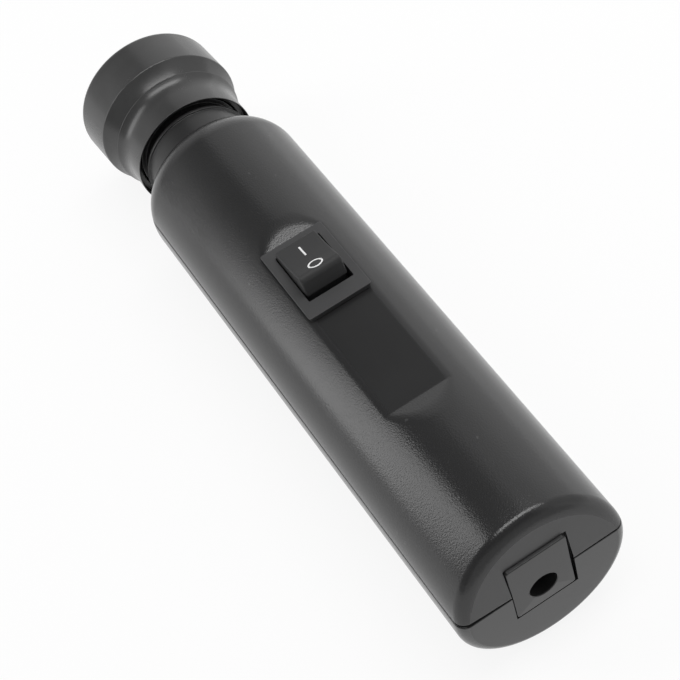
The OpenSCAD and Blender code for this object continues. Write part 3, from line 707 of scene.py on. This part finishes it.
def shell_loops(s, upper):
    """Loops of the wall from one edge of the split round to the other."""
    side = 1 if upper else -1
    edge_r = s.upper_edge_r if upper else s.lower_edge_r
    split = side * s.split_h + s.seam_gap / 2
    rear, front = flat_ends(s)
    fine, coarse, margin = 0.2 * MM, 4 * MM, 1.5 * MM
    stations = spread(edge_r, rear - s.ramp_len - margin, coarse)
    stations += spread(rear - s.ramp_len - margin, rear + margin, fine)
    stations += spread(rear + margin, front - margin, coarse)
    stations += spread(front - margin, front + s.ramp_len + margin, fine)
    stations += spread(front + s.ramp_len + margin, s.length - s.shoulder_r, coarse)
    stations = sorted(set(round(x, 7) for x in stations))
    if not upper:
        stations = spread(edge_r, s.length - s.shoulder_r, coarse)
    least = s.seam_round / 10
    stations = [x for x in stations if x > edge_r + least]
    # Power of the blend between the two edges' radii, and sine of the turn above which the flat cuts
    blend_power, flat_from = 0.7, 0.5

    def at_height(z, inset):
        """Level loop, with its outside drawn in by an inset."""
        loop = []
        outline, outer = shell_outline(s, s.lower_edge_r, stations)
        for i, (x, r) in enumerate(outline):
            if i < outer:
                x, r = inset_point(outline, i, inset, s.core_r)
            reach = math.sqrt(max(r * r - z * z, 0))
            loop.append((x, reach, z))
        return loop

    def turned(share):
        """Loop turned about the axis, a share of the way round."""
        loop = []
        blend = math.sin(math.pi * share) ** blend_power
        outline, outer = shell_outline(s, s.lower_edge_r + (edge_r - s.lower_edge_r) * blend, stations)
        for i, (x, r) in enumerate(outline):
            low = math.asin((split + s.seam_round) / r)
            a = low + (math.pi - 2 * low) * share
            if upper and i < outer and math.sin(a) > flat_from:
                height = flat_height(s, x)
                past = min((height - BODY_R) / s.flat_depth + 1, 1)
                r = soft_least(r, height / math.sin(a), s.crease + s.ramp_soft * past)
            loop.append((x, r * math.cos(a), r * math.sin(a)))
        return loop

    rim = []
    for a in quarter(4)[:-1]:
        rise = s.seam_round * math.sin(a)
        rim.append((split + rise, s.seam_round * (1 - math.sqrt(1 - (1 - math.sin(a)) ** 2))))
    loops = [at_height(z, inset) for z, inset in rim]
    loops += [turned(share) for share in shell_shares(s, split)]
    loops += [[(x, -y, z) for x, y, z in at_height(z, inset)] for z, inset in reversed(rim)]
    return [[lamp_point(x, y, side * z) for x, y, z in loop] for loop in loops]


def inset_point(outline, i, inset, core_r):
    """Outline point moved into the wall, square to the outline."""
    x, r = outline[i]
    if r <= core_r:
        return x, r
    before, after = Vector(outline[i - 1]), Vector(outline[i + 1])
    along = (after - before).normalized()
    return x + along.y * inset, r - along.x * inset


def shell_shares(s, split):
    """How far round each loop lies, from 0 to 1."""
    low = math.asin((split + s.seam_round) / BODY_R)
    return spread(0, 1, s.loop_step / (math.pi - 2 * low))


def screw_places():
    """Distances of the case screws from the rear face."""
    apart = 8 * MM
    node = frame["nodes"]["case_screws"]
    xs = sorted(set(round(v.co.x, 4) for v in node.data.vertices))
    groups = []
    for x in xs:
        if groups and x - groups[-1][-1] < apart:
            groups[-1].append(x)
        else:
            groups.append([x])
    return [(group[0] + group[-1]) / 2 - REAR_X for group in groups]


def tongue(s, side, grow, inset):
    """Strip that closes the split along one side inside the wall, grown by a clearance."""
    inner, outer = BODY_R - s.wall + inset, BODY_R - s.wall + s.tongue_t + grow
    step, setback = 0.5 * MM, 4 * MM
    heights = spread(s.split_h - s.tongue_h, s.split_h + s.tongue_h + grow, step)
    section = [(side * math.sqrt(outer * outer - z * z), z) for z in heights]
    section += [(side * math.sqrt(inner * inner - z * z), z) for z in reversed(heights)]
    start = s.tongue_left_x if side > 0 else s.tongue_right_x
    end = FLANGE_X - setback
    loops = [[lamp_point(x, y, z) for y, z in section] for x in (start - grow, end + grow)]
    return skin("tongue", loops)


def half_shell(name, s, upper):
    """One half of the body, with its part of the opening for the inlet plate."""
    piece = skin(name, shell_loops(s, upper))
    cut_aperture(piece, s)
    return piece


def build_upper_shell(s):
    """Upper shell with the groove for the tongue and the hole for the switch."""
    piece = half_shell("upper_shell_moulding", s, True)
    past_wall = -0.5 * MM
    for side in (1, -1):
        combine(piece, tongue(s, side, CLEAR, past_wall), "DIFFERENCE")
    switch = bpy.context.scene.lamp_switch
    half_l, half_w = switch.case_l / 2 + CLEAR, switch.case_w / 2 + CLEAR
    below, above = 6 * MM, 2 * MM
    low = (SWITCH_X - half_l, -half_w, BODY_R - below)
    high = (SWITCH_X + half_l, half_w, BODY_R + above)
    combine(piece, block("switch_hole", low, high), "DIFFERENCE")
    # The upper rear face gets painted light, the flat painted shade.
    finish_shell(piece, s, "rear_plastic")
    lean_rear(piece, s, s.rear_lean)
    gape_corner(piece, s)
    return smooth(piece, degrees=30, flat_faces=False)


def build_lower_shell(s):
    """Lower shell with its tongue and the wells of the case screws."""
    piece = half_shell("lower_shell_moulding", s, False)
    in_wall = 0.15 * MM
    for side in (1, -1):
        combine(piece, tongue(s, side, 0, in_wall), "UNION")
    seat, foot = -s.seat_depth, -BODY_R + s.wall / 2
    bore, cover = 1.45 * MM, seat + 1.6 * MM
    inner, outer = s.well_r - 0.5 * MM, s.well_r + s.well_wall
    tube = [
        (inner, foot), (outer, foot), (outer, cover), (s.boss_r, cover), (s.boss_r, s.split_h),
        (bore, s.split_h), (bore, seat), (inner, seat),
    ]
    combine(piece, turned_up("well_tubes", screw_places(), tube), "UNION")
    mouth = -BODY_R - OVER
    drill = [(0, mouth), (s.well_r, mouth), (s.well_r, seat), (0, seat)]
    combine(piece, turned_up("wells", screw_places(), drill), "DIFFERENCE")
    # The lower rear face gets painted shade.
    finish_shell(piece, s, "panel_plastic")
    lean_rear(piece, s, 0)
    return smooth(piece, degrees=30, flat_faces=False)


def cut_aperture(piece, s):
    """Opening for the inlet plate in the rear wall."""
    inlet = bpy.context.scene.lamp_inlet
    half_w, half_h = inlet.plate_w / 2, inlet.plate_h / 2 + s.plate_gap
    low = (-OVER, inlet.plate_y - half_w - s.plate_gap_right, inlet.plate_z - half_h)
    high = (s.wall + OVER, inlet.plate_y + half_w + s.plate_gap, inlet.plate_z + half_h)
    combine(piece, block("inlet_hole", low, high), "DIFFERENCE")


def lean_rear(piece, s, lean):
    """Leans the rear face forwards above the split; the lean dies out along the body."""
    for vertex in piece.data.vertices:
        fade = max(0, 1 - (vertex.co.x - REAR_X) / s.lean_reach)
        rise = max(0, vertex.co.z - AXIS_Z - s.split_h)
        vertex.co.x += fade * (rise * math.tan(lean) - s.rear_shift)


def gape_corner(piece, s):
    """Lifts the upper shell's left rear corner off the split."""
    reach, middle, height = 7 * MM, 9 * MM, 6 * MM
    for vertex in piece.data.vertices:
        x, y, z = vertex.co.x - REAR_X, vertex.co.y, vertex.co.z - AXIS_Z - s.split_h
        along = max(0, 1 - x / reach)
        across = min(max(y / middle - 1, 0), 1)
        up = max(0, 1 - z / height)
        vertex.co.z += s.gape * along * across * up


def finish_shell(piece, s, painted_rear_tone):
    """Grain all over, smooth on the rear face and the flat, in painted tones: the rear face takes the given rear
    tone, painted light on the upper shell and painted shade on the lower; the flat takes the darker panel copy,
    painted shade.
    """
    rear_near, flat_near, level = 0.02 * MM, 0.03 * MM, 0.999
    piece.data.materials.clear()
    for name in ("grained_plastic", "panel_plastic", painted_rear_tone):
        piece.data.materials.append(finish(name))
    flat_z = AXIS_Z + BODY_R - s.flat_depth
    for face in piece.data.polygons:
        centre = face.center
        rear = abs(centre.x - REAR_X) < rear_near
        top = abs(centre.z - flat_z) < flat_near and face.normal.z > level
        # Index 2 gives the rear face its painted tone, index 1 gives the flat its painted shade.
        face.material_index = 2 if rear else 1 if top else 0


class LAMP_OT_shells(bpy.types.Operator):
    """Moulds the two half shells"""

    bl_idname = "lamp.shells"
    bl_label = "Half shells"

    def execute(self, context):
        s = context.scene.lamp_shell
        dress(build_upper_shell(s), "upper_shell", "body")
        dress(build_lower_shell(s), "lower_shell", "body")
        return {"FINISHED"}


# Neck and cup


def neck_outline(s):
    """Closed outline of the neck, from its flange to its end inside the cup."""
    start, end = FLANGE_X, NECK_HIGH[0] - REAR_X + s.neck_more
    flange_r, flange_end = NECK_HIGH[1], FLANGE_X + FLANGE_T
    ledge_w, ledge_len = 1.9 * MM, 8 * MM
    bore = s.neck_r - s.neck_wall
    ledge, step = bore - ledge_w, start + ledge_len
    bead_x = CUP_X - 2 * s.bead_len
    points = [
        (start, ledge), (start, flange_r), (flange_end, flange_r), (flange_end, s.neck_r),
        (bead_x, s.neck_r), (bead_x, s.neck_r + s.bead_h), (bead_x + s.bead_len, s.neck_r + s.bead_h),
        (bead_x + s.bead_len, s.neck_r - s.neck_groove), (CUP_X + s.hollow, s.neck_r - s.neck_groove),
        (CUP_X + s.hollow, s.neck_r), (end, s.neck_r), (end, bore), (step, bore), (step, ledge),
    ]
    fine, bead = 0.2 * MM, 0.12 * MM
    return rounded(points, [fine] * 5 + [bead, bead] + [fine] * 5 + [0, 0], steps=3)


def cup_outline(s):
    """Closed outline of the cup, from the skirt's end."""
    end = CUP_HIGH[0] - CUP_LOW[0]
    lip_x = end - s.lip_len
    stop_end = s.stop_x + s.stop_t
    bore, skirt_in = s.neck_r + CLEAR, s.skirt_r - s.skirt_t
    step_len, mouth_in, slope_foot = 0.1 * MM, 0.2 * MM, 1 * MM
    step_round, band_round = 0.3 * MM, 0.6 * MM
    points = [(0, skirt_in), (0, s.skirt_r), (s.skirt_len, s.skirt_r)]
    radii = [0.08 * MM, 0.1 * MM, 0]
    for share in spread(0, 1, 1 / 8)[1:]:
        x = s.skirt_len + (s.step_x - s.skirt_len) * share
        points.append((x, s.skirt_r + (s.step_r - s.skirt_r) * share ** 3))
        radii.append(0)
    points.append((s.step_x + step_len, s.step_r + s.step_h))
    radii.append(step_round)
    for a in spread(s.flank_low, s.flank_high, (s.flank_high - s.flank_low) / 12):
        x = lip_x - s.flank_r * (math.sin(s.flank_high) - math.sin(a))
        points.append((x, s.lip_r - s.flank_r * (math.cos(a) - math.cos(s.flank_high))))
        radii.append(0)
    radii[-1] = band_round
    points.append((end, s.lip_r))
    radii.append(s.lip_round)
    points += [
        (end - mouth_in, s.lip_r - s.lip_t), (stop_end, s.stop_r + slope_foot), (stop_end, s.stop_r),
        (s.stop_x, s.stop_r), (s.stop_x, bore), (s.hollow, bore), (s.hollow, skirt_in),
    ]
    radii += [0.6 * MM, 0.4 * MM, 0.3 * MM, 0.2 * MM, 0.2 * MM, 0.3 * MM, 0.4 * MM]
    return [(CUP_X + x, r) for x, r in rounded(points, radii, steps=5)]


def sway_lip(piece, s):
    """Draws the soft lip forwards and to the left, more towards its mouth."""
    free = CUP_HIGH[0] - CUP_LOW[0] - s.free_x
    for vertex in piece.data.vertices:
        share = max(0, (vertex.co.x - CUP_LOW[0] - s.free_x) / free) ** 2
        vertex.co.y += s.sway * share
        vertex.co.x += s.stretch * share


class LAMP_OT_neck(bpy.types.Operator):
    """Turns the neck with its fine bead"""

    bl_idname = "lamp.neck"
    bl_label = "Neck"

    def execute(self, context):
        outline = neck_outline(context.scene.lamp_cup)
        piece = turning("neck_moulding", outline, "inlet_plastic")
        dress(smooth(piece), "neck_barrel", "body")
        return {"FINISHED"}


class LAMP_OT_cup(bpy.types.Operator):
    """Turns the rubber cup"""

    bl_idname = "lamp.cup"
    bl_label = "Rubber cup"

    def execute(self, context):
        outline = cup_outline(context.scene.lamp_cup)
        piece = turning("cup_moulding", outline, "soft_rubber")
        sway_lip(piece, context.scene.lamp_cup)
        dress(smooth(piece, degrees=40), "rubber_cup", "cup")
        return {"FINISHED"}


# Switch


def rectangle(length_x, width_y, corner_r, steps=4):
    """Closed rounded rectangle in (x, y)."""
    x, y = length_x / 2, width_y / 2
    return rounded([(-x, -y), (x, -y), (x, y), (-x, y)], [corner_r] * 4, steps)


def housing_loops(s):
    """Rings of the bezel and case, from the floor inside up over the bezel and down to the foot."""
    top, floor = s.bezel_t, s.floor_t - s.case_d
    edge, inside_r, outside_r = 0.15 * MM, 0.2 * MM, 0.3 * MM
    shift, none = (s.opening_x, s.opening_y), (0, 0)
    rings = [
        (s.opening_l, s.opening_w, floor, inside_r, shift),
        (s.opening_l, s.opening_w, top - edge, inside_r, shift),
        (s.opening_l + edge, s.opening_w + edge, top, outside_r, shift),
    ]
    r = s.bezel_round
    top -= s.bezel_fall
    for a in quarter(4):
        grow = r * (1 - math.sin(a))
        height = top - r * (1 - math.cos(a))
        rings.append((s.bezel_l - 2 * grow, s.bezel_w - 2 * grow, height, s.corner_r, none))
    rings += [
        (s.bezel_l - 2 * s.undercut, s.bezel_w - 2 * s.side_undercut, 0, s.corner_r, none),
        (s.case_l, s.case_w, 0, outside_r, none),
        (s.case_l, s.case_w, -s.case_d, outside_r, none),
    ]
    base = BODY_R - bpy.context.scene.lamp_shell.flat_depth
    loops = []
    for length_x, width_y, z, corner, (ahead, aside) in rings:
        ring = rectangle(length_x, width_y, corner)
        loops.append([lamp_point(SWITCH_X + ahead + x, y + s.side + aside, base + z) for x, y in ring])
    return loops


def rocker_hollow(s, u):
    """Height of the rocker's hollow top above its pivot, before its ridges are rounded."""
    half = (s.rocker_front + s.rocker_rear) / 2
    dip_r = (half ** 2 + s.rocker_dip ** 2) / (2 * s.rocker_dip)
    away = u - s.rocker_front + half
    drop = s.front_drop * max(0, u / s.rocker_front)
    return s.rocker_h - drop - s.rocker_dip + dip_r - math.sqrt(dip_r ** 2 - away ** 2)


def rocker_profile(s):
    """Closed side outline of the rocker in (along, up)."""
    front, rear = s.rocker_front, -s.rocker_rear
    run = spread(-s.knee, front, (front + s.knee) / 9)
    top = [(u, rocker_hollow(s, u)) for u in reversed(run[:-1])]
    points = [(front, -s.rocker_base), (front, s.rocker_h - s.front_drop)] + top
    foot, ledge = s.rocker_h - s.rear_wall, rear + s.rear_ledge
    points += [(rear, s.rocker_h), (rear, foot), (ledge, foot), (ledge, -s.rocker_base)]
    foot_r, ledge_r = 0.3 * MM, 0.2 * MM
    radii = [foot_r, s.front_ridge_r] + [0] * len(top) + [s.rear_ridge_r, ledge_r, ledge_r, foot_r]
    return rounded(points, radii, steps=8)


def rocker_top(s, u):
    """Height of the rocker's finished top above its pivot."""
    points = [p for p in rocker_profile(s) if p[1] > 0]
    for (front, high), (rear, low) in zip(points, points[1:]):
        if rear <= u <= front and front > rear:
            return low + (high - low) * (u - rear) / (front - rear)
    raise ValueError("no top of the rocker there")


def on_rocker(s, u, y, w):
    """Point of the tilted rocker's own frame, as the lamp rests."""
    x = u * math.cos(s.tilt) + w * math.sin(s.tilt)
    z = w * math.cos(s.tilt) - u * math.sin(s.tilt)
    return lamp_point(SWITCH_X + x, y + s.side, PIVOT_Z + z)


def shrunk(outline, inset):
    """Closed outline moved inwards by a small distance."""
    out = []
    count = len(outline)
    for i in range(count):
        before, after = Vector(outline[i - 1]), Vector(outline[(i + 1) % count])
        along = (after - before).normalized()
        out.append((outline[i][0] - along.y * inset, outline[i][1] + along.x * inset))
    return out


def rocker_loops(s):
    """Side outlines across the rocker's width, drawn in round its long edges."""
    outline = rocker_profile(s)
    sides = []
    for a in quarter(4):
        sides.append((s.rocker_w / 2 - s.side_r * (1 - math.sin(a)), s.side_r * (1 - math.cos(a))))
    places = [(-y, inset) for y, inset in reversed(sides)] + sides
    return [[on_rocker(s, u, y, w) for u, w in shrunk(outline, inset)] for y, inset in places]


def on_mark(s):
    """Straight bar on the half of the rocker that switches on."""
    loops = []
    step = 0.15 * MM
    for u in spread(s.bar_x - s.bar_l / 2, s.bar_x + s.bar_l / 2, step):
        ring = []
        for y, lift in ((-1, -1), (1, -1), (1, 1), (-1, 1)):
            ring.append(on_rocker(s, u, s.bar_y + y * s.bar_w / 2, rocker_top(s, u) + lift * s.ink_t))
        loops.append(ring)
    return mesh_of("on_mark", loops)


def off_mark(s):
    """Oval ring on the half of the rocker that switches off."""
    loops = []
    for a in full_turn(64):
        ring = []
        for inset, lift in ((0, -1), (s.stroke, -1), (s.stroke, 1), (0, 1)):
            u = -s.oval_x + (s.oval_l / 2 - inset) * math.cos(a)
            y = s.oval_y + (s.oval_w / 2 - inset) * math.sin(a)
            ring.append(on_rocker(s, u, y, rocker_top(s, u) + lift * s.ink_t))
        loops.append(ring)
    return mesh_of("off_mark", loops, closed=True)


class LAMP_OT_switch(bpy.types.Operator):
    """Moulds the switch's bezel and rocker, and prints its marks"""

    bl_idname = "lamp.switch"
    bl_label = "Rocker switch"

    def execute(self, context):
        s = context.scene.lamp_switch
        housing = skin("switch_case", housing_loops(s), finish("bezel_plastic"))
        dress(smooth(housing), "switch_housing", "body")
        key = skin("rocker_key", rocker_loops(s), finish("switch_plastic"))
        dress(smooth(key, degrees=50), "rocker", "rocker")
        for name, mesh in (("on_mark", on_mark(s)), ("off_mark", off_mark(s))):
            mark = smooth(shown(name, mesh, finish("printed_ink")))
            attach(mark, "rocker")
        return {"FINISHED"}


# Power inlet


def plate_loops(s):
    """Rings of the inlet plate, from the back of its flange to its front face."""
    depth = PLATE_HIGH[0] - REAR_X
    flange_w = PLATE_HIGH[1] - PLATE_LOW[1]
    flange_h = PLATE_HIGH[2] - PLATE_LOW[2]
    rings = [(flange_w, flange_h, depth), (flange_w, flange_h, s.front_t)]
    rings.append((s.plate_w, s.plate_h, s.front_t))
    for a in quarter(4):
        draw = 2 * s.edge_r * (1 - math.cos(a))
        rings.append((s.plate_w - draw, s.plate_h - draw, s.edge_r * (1 - math.sin(a))))
    loops = []
    for width, height, x in rings:
        ring = rectangle(width, height, s.corner_r, steps=5)
        loops.append([lamp_point(x, y + s.plate_y, z + s.plate_z) for y, z in ring])
    return loops


def plug_hole_outline(s):
    """Drill for the plug hole, which breaks its edge."""
    depth = PLATE_HIGH[0] - REAR_X + OVER
    mouth = s.hole_r + s.hole_edge + OVER
    return [(-OVER, 0), (-OVER, mouth), (s.hole_edge, s.hole_r), (depth, s.hole_r), (depth, 0)]


class LAMP_OT_inlet(bpy.types.Operator):
    """Moulds the plate of the power inlet"""

    bl_idname = "lamp.inlet"
    bl_label = "Power inlet"

    def execute(self, context):
        s = context.scene.lamp_inlet
        plate = skin("inlet_plate", plate_loops(s))
        drill = lathe("plug_hole", plug_hole_outline(s), segments=96)
        drill.transform(Matrix.Translation((0, s.plate_y, s.hole_z)))
        combine(plate, shown("plug_hole", drill), "DIFFERENCE")
        plate.data.materials.clear()
        plate.data.materials.append(finish("inlet_plastic"))
        lean_rear(plate, context.scene.lamp_shell, s.lean)
        dress(smooth(plate), "jack_plate", "body")
        return {"FINISHED"}


# Light


def lens_outline():
    """Clear lens with a flat back and a domed front."""
    back, tip = LENS_LOW[0] - REAR_X, LENS_HIGH[0] - REAR_X
    rim_r, rim_x = LENS_HIGH[1], RING_LOW[0] - REAR_X
    rim_w = 2.28 * MM
    foot = rim_r - rim_w
    high = tip - rim_x
    curve = (foot ** 2 + high ** 2) / (2 * high)
    dome = []
    for r in reversed(spread(0, foot, foot / 12)):
        dome.append((tip - curve + math.sqrt(curve ** 2 - r ** 2), r))
    return [(back, 0), (back, rim_r), (rim_x, rim_r)] + dome


def bowl_outline():
    """Bowl of the reflector, which widens with the square root of the distance from its throat."""
    back, mouth_x = BOWL_LOW[0] - REAR_X, BOWL_HIGH[0] - REAR_X
    rim_r, rim_t, wall = BOWL_HIGH[1], 1.2 * MM, 0.9 * MM
    throat, mouth = 3.9 * MM, rim_r - RING_W
    inside = []
    for share in spread(0, 1, 1 / 24):
        inside.append((back + (mouth_x - back) * share ** 2, throat + (mouth - throat) * share))
    outside = [(x, r + wall) for x, r in inside if x < mouth_x - rim_t and r + wall < rim_r]
    last = outside[-1][1]
    return inside + [(mouth_x, rim_r), (mouth_x - rim_t, rim_r), (mouth_x - rim_t, last)] + outside[::-1]


def ring_outline():
    """Ring that holds the lens, with a rounded mouth."""
    edge_r, mouth_r = 0.2 * MM, 0.5 * MM
    back, front = RING_LOW[0] - REAR_X, RING_HIGH[0] - REAR_X
    outer = RING_HIGH[1]
    inner = outer - RING_W
    points = [(back, inner), (back, outer), (front, outer), (front, inner)]
    return rounded(points, [0, edge_r, edge_r, mouth_r], steps=4)


class LAMP_OT_light(bpy.types.Operator):
    """Turns the lens, its ring and the reflector"""

    bl_idname = "lamp.light"
    bl_label = "Light"

    def execute(self, context):
        pieces = (
            ("lens_turning", "lens", lens_outline(), "clear", "clear"),
            ("reflector_bowl", "reflector", bowl_outline(), "mirror_coat", "mirror_coat"),
            ("lens_retainer", "lens_ring", ring_outline(), "inlet_plastic", "body_plastic"),
        )
        for name, node, outline, look, slot in pieces:
            dress(smooth(turning(name, outline, look, segments=96)), node, "body")
        return {"FINISHED"}


# Screws


def screw_tree():
    """Geometry Nodes tree that sets a cross-headed screw on each point of a mesh."""
    group = bpy.data.node_groups.new("cross_head_screws", "GeometryNodeTree")
    face = group.interface
    face.new_socket("Places", in_out="INPUT", socket_type="NodeSocketGeometry")
    for name in ("Head radius", "Head height", "Shank radius", "Shank length"):
        face.new_socket(name, in_out="INPUT", socket_type="NodeSocketFloat")
    face.new_socket("Turn", in_out="INPUT", socket_type="NodeSocketRotation")
    face.new_socket("Finish", in_out="INPUT", socket_type="NodeSocketMaterial")
    face.new_socket("Screws", in_out="OUTPUT", socket_type="NodeSocketGeometry")
    t = Tree(group)
    given = group.nodes.new("NodeGroupInput")
    value = {socket.name: Value(t, socket) for socket in given.outputs if socket.name}
    head_r, head_h, shank_l = value["Head radius"], value["Head height"], value["Shank length"]

    def cylinder(vertices, radius, depth):
        """Upright cylinder about the origin."""
        sockets = {"Vertices": vertices, "Radius": radius, "Depth": depth}
        return t.node("GeometryNodeMeshCylinder", None, sockets)

    def raised(geometry, z):
        """Geometry moved along the screw's axis."""
        way = t.node("ShaderNodeCombineXYZ", None, {"Z": z})
        return t.node("GeometryNodeTransform", None, {"Geometry": geometry, "Translation": way})

    head = raised(cylinder(32, head_r, head_h), head_h * -0.5)
    shank = raised(cylinder(24, value["Shank radius"], shank_l), shank_l * 0.5)
    long_side, short_side, slot_h = head_r * 1.2, head_r * 0.27, head_h * 1.1
    for x, y in ((long_side, short_side), (short_side, long_side)):
        size = t.node("ShaderNodeCombineXYZ", None, {"X": x, "Y": y, "Z": slot_h})
        slot = raised(t.node("GeometryNodeMeshCube", None, {"Size": size}), head_h * -1.0)
        head = t.node("GeometryNodeMeshBoolean", {"operation": "DIFFERENCE"}, {0: head, 1: slot})
    joined = group.nodes.new("GeometryNodeJoinGeometry")
    for part in (shank, head):
        group.links.new(part.socket, joined.inputs[0])
    placed = t.node("GeometryNodeInstanceOnPoints", None, {
        "Points": value["Places"], "Instance": Value(t, joined.outputs[0]), "Rotation": value["Turn"]})
    real = t.node("GeometryNodeRealizeInstances", None, {"Geometry": placed})
    dressed = t.node("GeometryNodeSetMaterial", None, {"Geometry": real, "Material": value["Finish"]})
    t.node("NodeGroupOutput", None, {"Screws": dressed})
    return group


def screws(name, tree, places, inputs):
    """One object of screws, made plain mesh."""
    mesh = bpy.data.meshes.new(name)
    mesh.from_pydata(places, [], [])
    piece = shown(name, mesh)
    step = piece.modifiers.new("screws", "NODES")
    step.node_group = tree
    for item in tree.interface.items_tree:
        if item.in_out == "INPUT" and item.name in inputs:
            step[item.identifier] = inputs[item.name]
    return smooth(with_modifiers(piece))


class LAMP_OT_screws(bpy.types.Operator):
    """Sets the screws of the case"""

    bl_idname = "lamp.screws"
    bl_label = "Screws"

    def execute(self, context):
        tree = screw_tree()
        seat = -context.scene.lamp_shell.seat_depth
        places = [lamp_point(x, 0, seat) for x in screw_places()]
        case = screws("case_screw_set", tree, places, {
            "Head radius": 2.6 * MM, "Head height": 1.8 * MM, "Shank radius": 1.4 * MM,
            "Shank length": 15 * MM, "Turn": Euler((0, 0, 0)), "Finish": finish("steel")})
        dress(case, "case_screws", "body")
        return {"FINISHED"}


class LAMP_OT_inner(bpy.types.Operator):
    """Gives the pieces inside their finishes"""

    bl_idname = "lamp.inner"
    bl_label = "Inner pieces"

    def execute(self, context):
        slots = {part["node"]: part["material_slot"] for part in frame["record"]["subparts"]}
        for node, piece in frame["nodes"].items():
            slot = slots[node]
            look = {"body_plastic": "grained_plastic", "cup_rubber": "soft_rubber"}.get(slot, slot)
            piece.data.materials.clear()
            piece.data.materials.append(finish(look))
        return {"FINISHED"}


# Stage


def floor_material(tint):
    """Pale floor that is nearly white to the camera and keeps the shadow."""
    camera_white = 0.88
    f = Finish("pale_floor")
    direct, mirrored = f.rays()
    paper = f.node("ShaderNodeBsdfDiffuse", None, {"Color": rgba(tint)})
    white = f.node("ShaderNodeEmission", None, {"Color": (1, 1, 1, 1), "Strength": 1.0})
    share = mirrored.either(direct * camera_white)
    mixed = f.node("ShaderNodeMixShader", None, {0: share, 1: paper, 2: white})
    f.node("ShaderNodeOutputMaterial", None, {"Surface": mixed})
    return f.material


def white_world(ambient):
    """White to the camera; in reflections grey walls under a dark ceiling."""
    world = bpy.data.worlds.new("studio")
    world.use_nodes = True
    t = Tree(world.node_tree)
    direct, mirrored = t.rays()
    place = t.node("ShaderNodeTexCoord")
    way = t.node("ShaderNodeSeparateXYZ", None, {"Vector": place}).socket.node.outputs
    wall_stops = [(0, 0.514), (0.427, 0.514), (0.752, 0.01)]
    ahead_stops = [(0, 0.9), (0.2, 0.9), (0.27, 0.25), (0.57, 0.25), (0.72, 1)]
    walls = t.ramp(Value(t, way["Z"]), wall_stops)
    ahead = t.ramp(Value(t, way["X"]) * 0.5 + 0.5, ahead_stops)
    soft = mirrored * (walls * ahead) + (1 - mirrored) * ambient
    strength = direct + (1 - direct) * soft
    light = t.node("ShaderNodeBackground", None, {"Color": (1, 1, 1, 1), "Strength": strength})
    t.node("ShaderNodeOutputWorld", None, {"Surface": light})
    bpy.context.scene.world = world


def softbox(name, place, aim, size, power):
    """Oblong area lamp turned towards a point."""
    lamp = bpy.data.lights.new(name, "AREA")
    lamp.shape = "RECTANGLE"
    lamp.size, lamp.size_y = size
    lamp.energy = power
    stand = bpy.data.objects.new(name, lamp)
    bpy.context.scene.collection.objects.link(stand)
    stand.visible_camera = False
    stand.location = place
    stand.rotation_euler = (Vector(aim) - Vector(place)).to_track_quat("-Z", "Y").to_euler()


class LAMP_OT_stage(bpy.types.Operator):
    """Sets the floor, lights and camera"""

    bl_idname = "lamp.stage"
    bl_label = "Stage"

    def execute(self, context):
        s = context.scene.lamp_stage
        context.scene.view_settings.view_transform = "Standard"
        half = 2.0
        corners = [(-half, -half, 0), (half, -half, 0), (half, half, 0), (-half, half, 0)]
        mesh = bpy.data.meshes.new("floor")
        mesh.from_pydata(corners, [], [(0, 1, 2, 3)])
        floor = shown("floor", mesh, floor_material(context.scene.lamp_colours.floor))
        white_world(s.ambient)
        middle = (0, 0, AXIS_Z)
        # Name, place and size in metres, and power
        boxes = (
            ("left_softbox", (0.28, 0.46, 0.3), (0.17, 0.6), s.key),
            ("right_softbox", (0.081, -0.271, 0.064), (1.0, 0.98), s.fill),
            ("top_softbox", (0.018, -0.152, 0.931), (0.28, 0.9), s.top),
        )
        for name, place, size, power in boxes:
            softbox(name, place, middle, size, power)
        camera = bpy.data.cameras.new("camera")
        camera.lens = s.lens
        camera.clip_start = 0.01
        stand = bpy.data.objects.new("camera", camera)
        context.scene.collection.objects.link(stand)
        stand.location = s.place
        stand.rotation_euler = s.turn
        context.scene.camera = stand
        return {"FINISHED"}


# Panel and start


class LAMP_PT_panel(bpy.types.Panel):
    """Lists the lamp's operators"""

    bl_idname = "LAMP_PT_panel"
    bl_label = "Candling lamp"
    bl_space_type = "VIEW_3D"
    bl_region_type = "UI"
    bl_category = "Candling lamp"

    def draw(self, context):
        for operator in OPERATORS:
            self.layout.operator(operator.bl_idname)


GROUPS = {
    "lamp_shell": ShellSizes,
    "lamp_switch": SwitchSizes,
    "lamp_cup": CupSizes,
    "lamp_inlet": InletSizes,
    "lamp_colours": FinishColours,
    "lamp_stage": StageSizes,
}
OPERATORS = (
    LAMP_OT_stage, LAMP_OT_inner, LAMP_OT_shells, LAMP_OT_neck, LAMP_OT_cup,
    LAMP_OT_switch, LAMP_OT_inlet, LAMP_OT_light, LAMP_OT_screws,
)


def register():
    """Adds the lamp's classes and settings."""
    for kind in (*GROUPS.values(), *OPERATORS, LAMP_PT_panel):
        bpy.utils.register_class(kind)
    for name, kind in GROUPS.items():
        setattr(bpy.types.Scene, name, PointerProperty(type=kind))


def unregister():
    """Takes the lamp's classes and settings away."""
    for name in GROUPS:
        delattr(bpy.types.Scene, name)
    for kind in reversed((*GROUPS.values(), *OPERATORS, LAMP_PT_panel)):
        bpy.utils.unregister_class(kind)


def main():
    """Builds the lamp."""
    register()
    bpy.ops.lamp.stage()
    bpy.ops.lamp.inner()
    bpy.ops.lamp.shells()
    bpy.ops.lamp.neck()
    bpy.ops.lamp.cup()
    bpy.ops.lamp.switch()
    bpy.ops.lamp.inlet()
    bpy.ops.lamp.light()
    bpy.ops.lamp.screws()


if __name__ == "__main__":
    main()
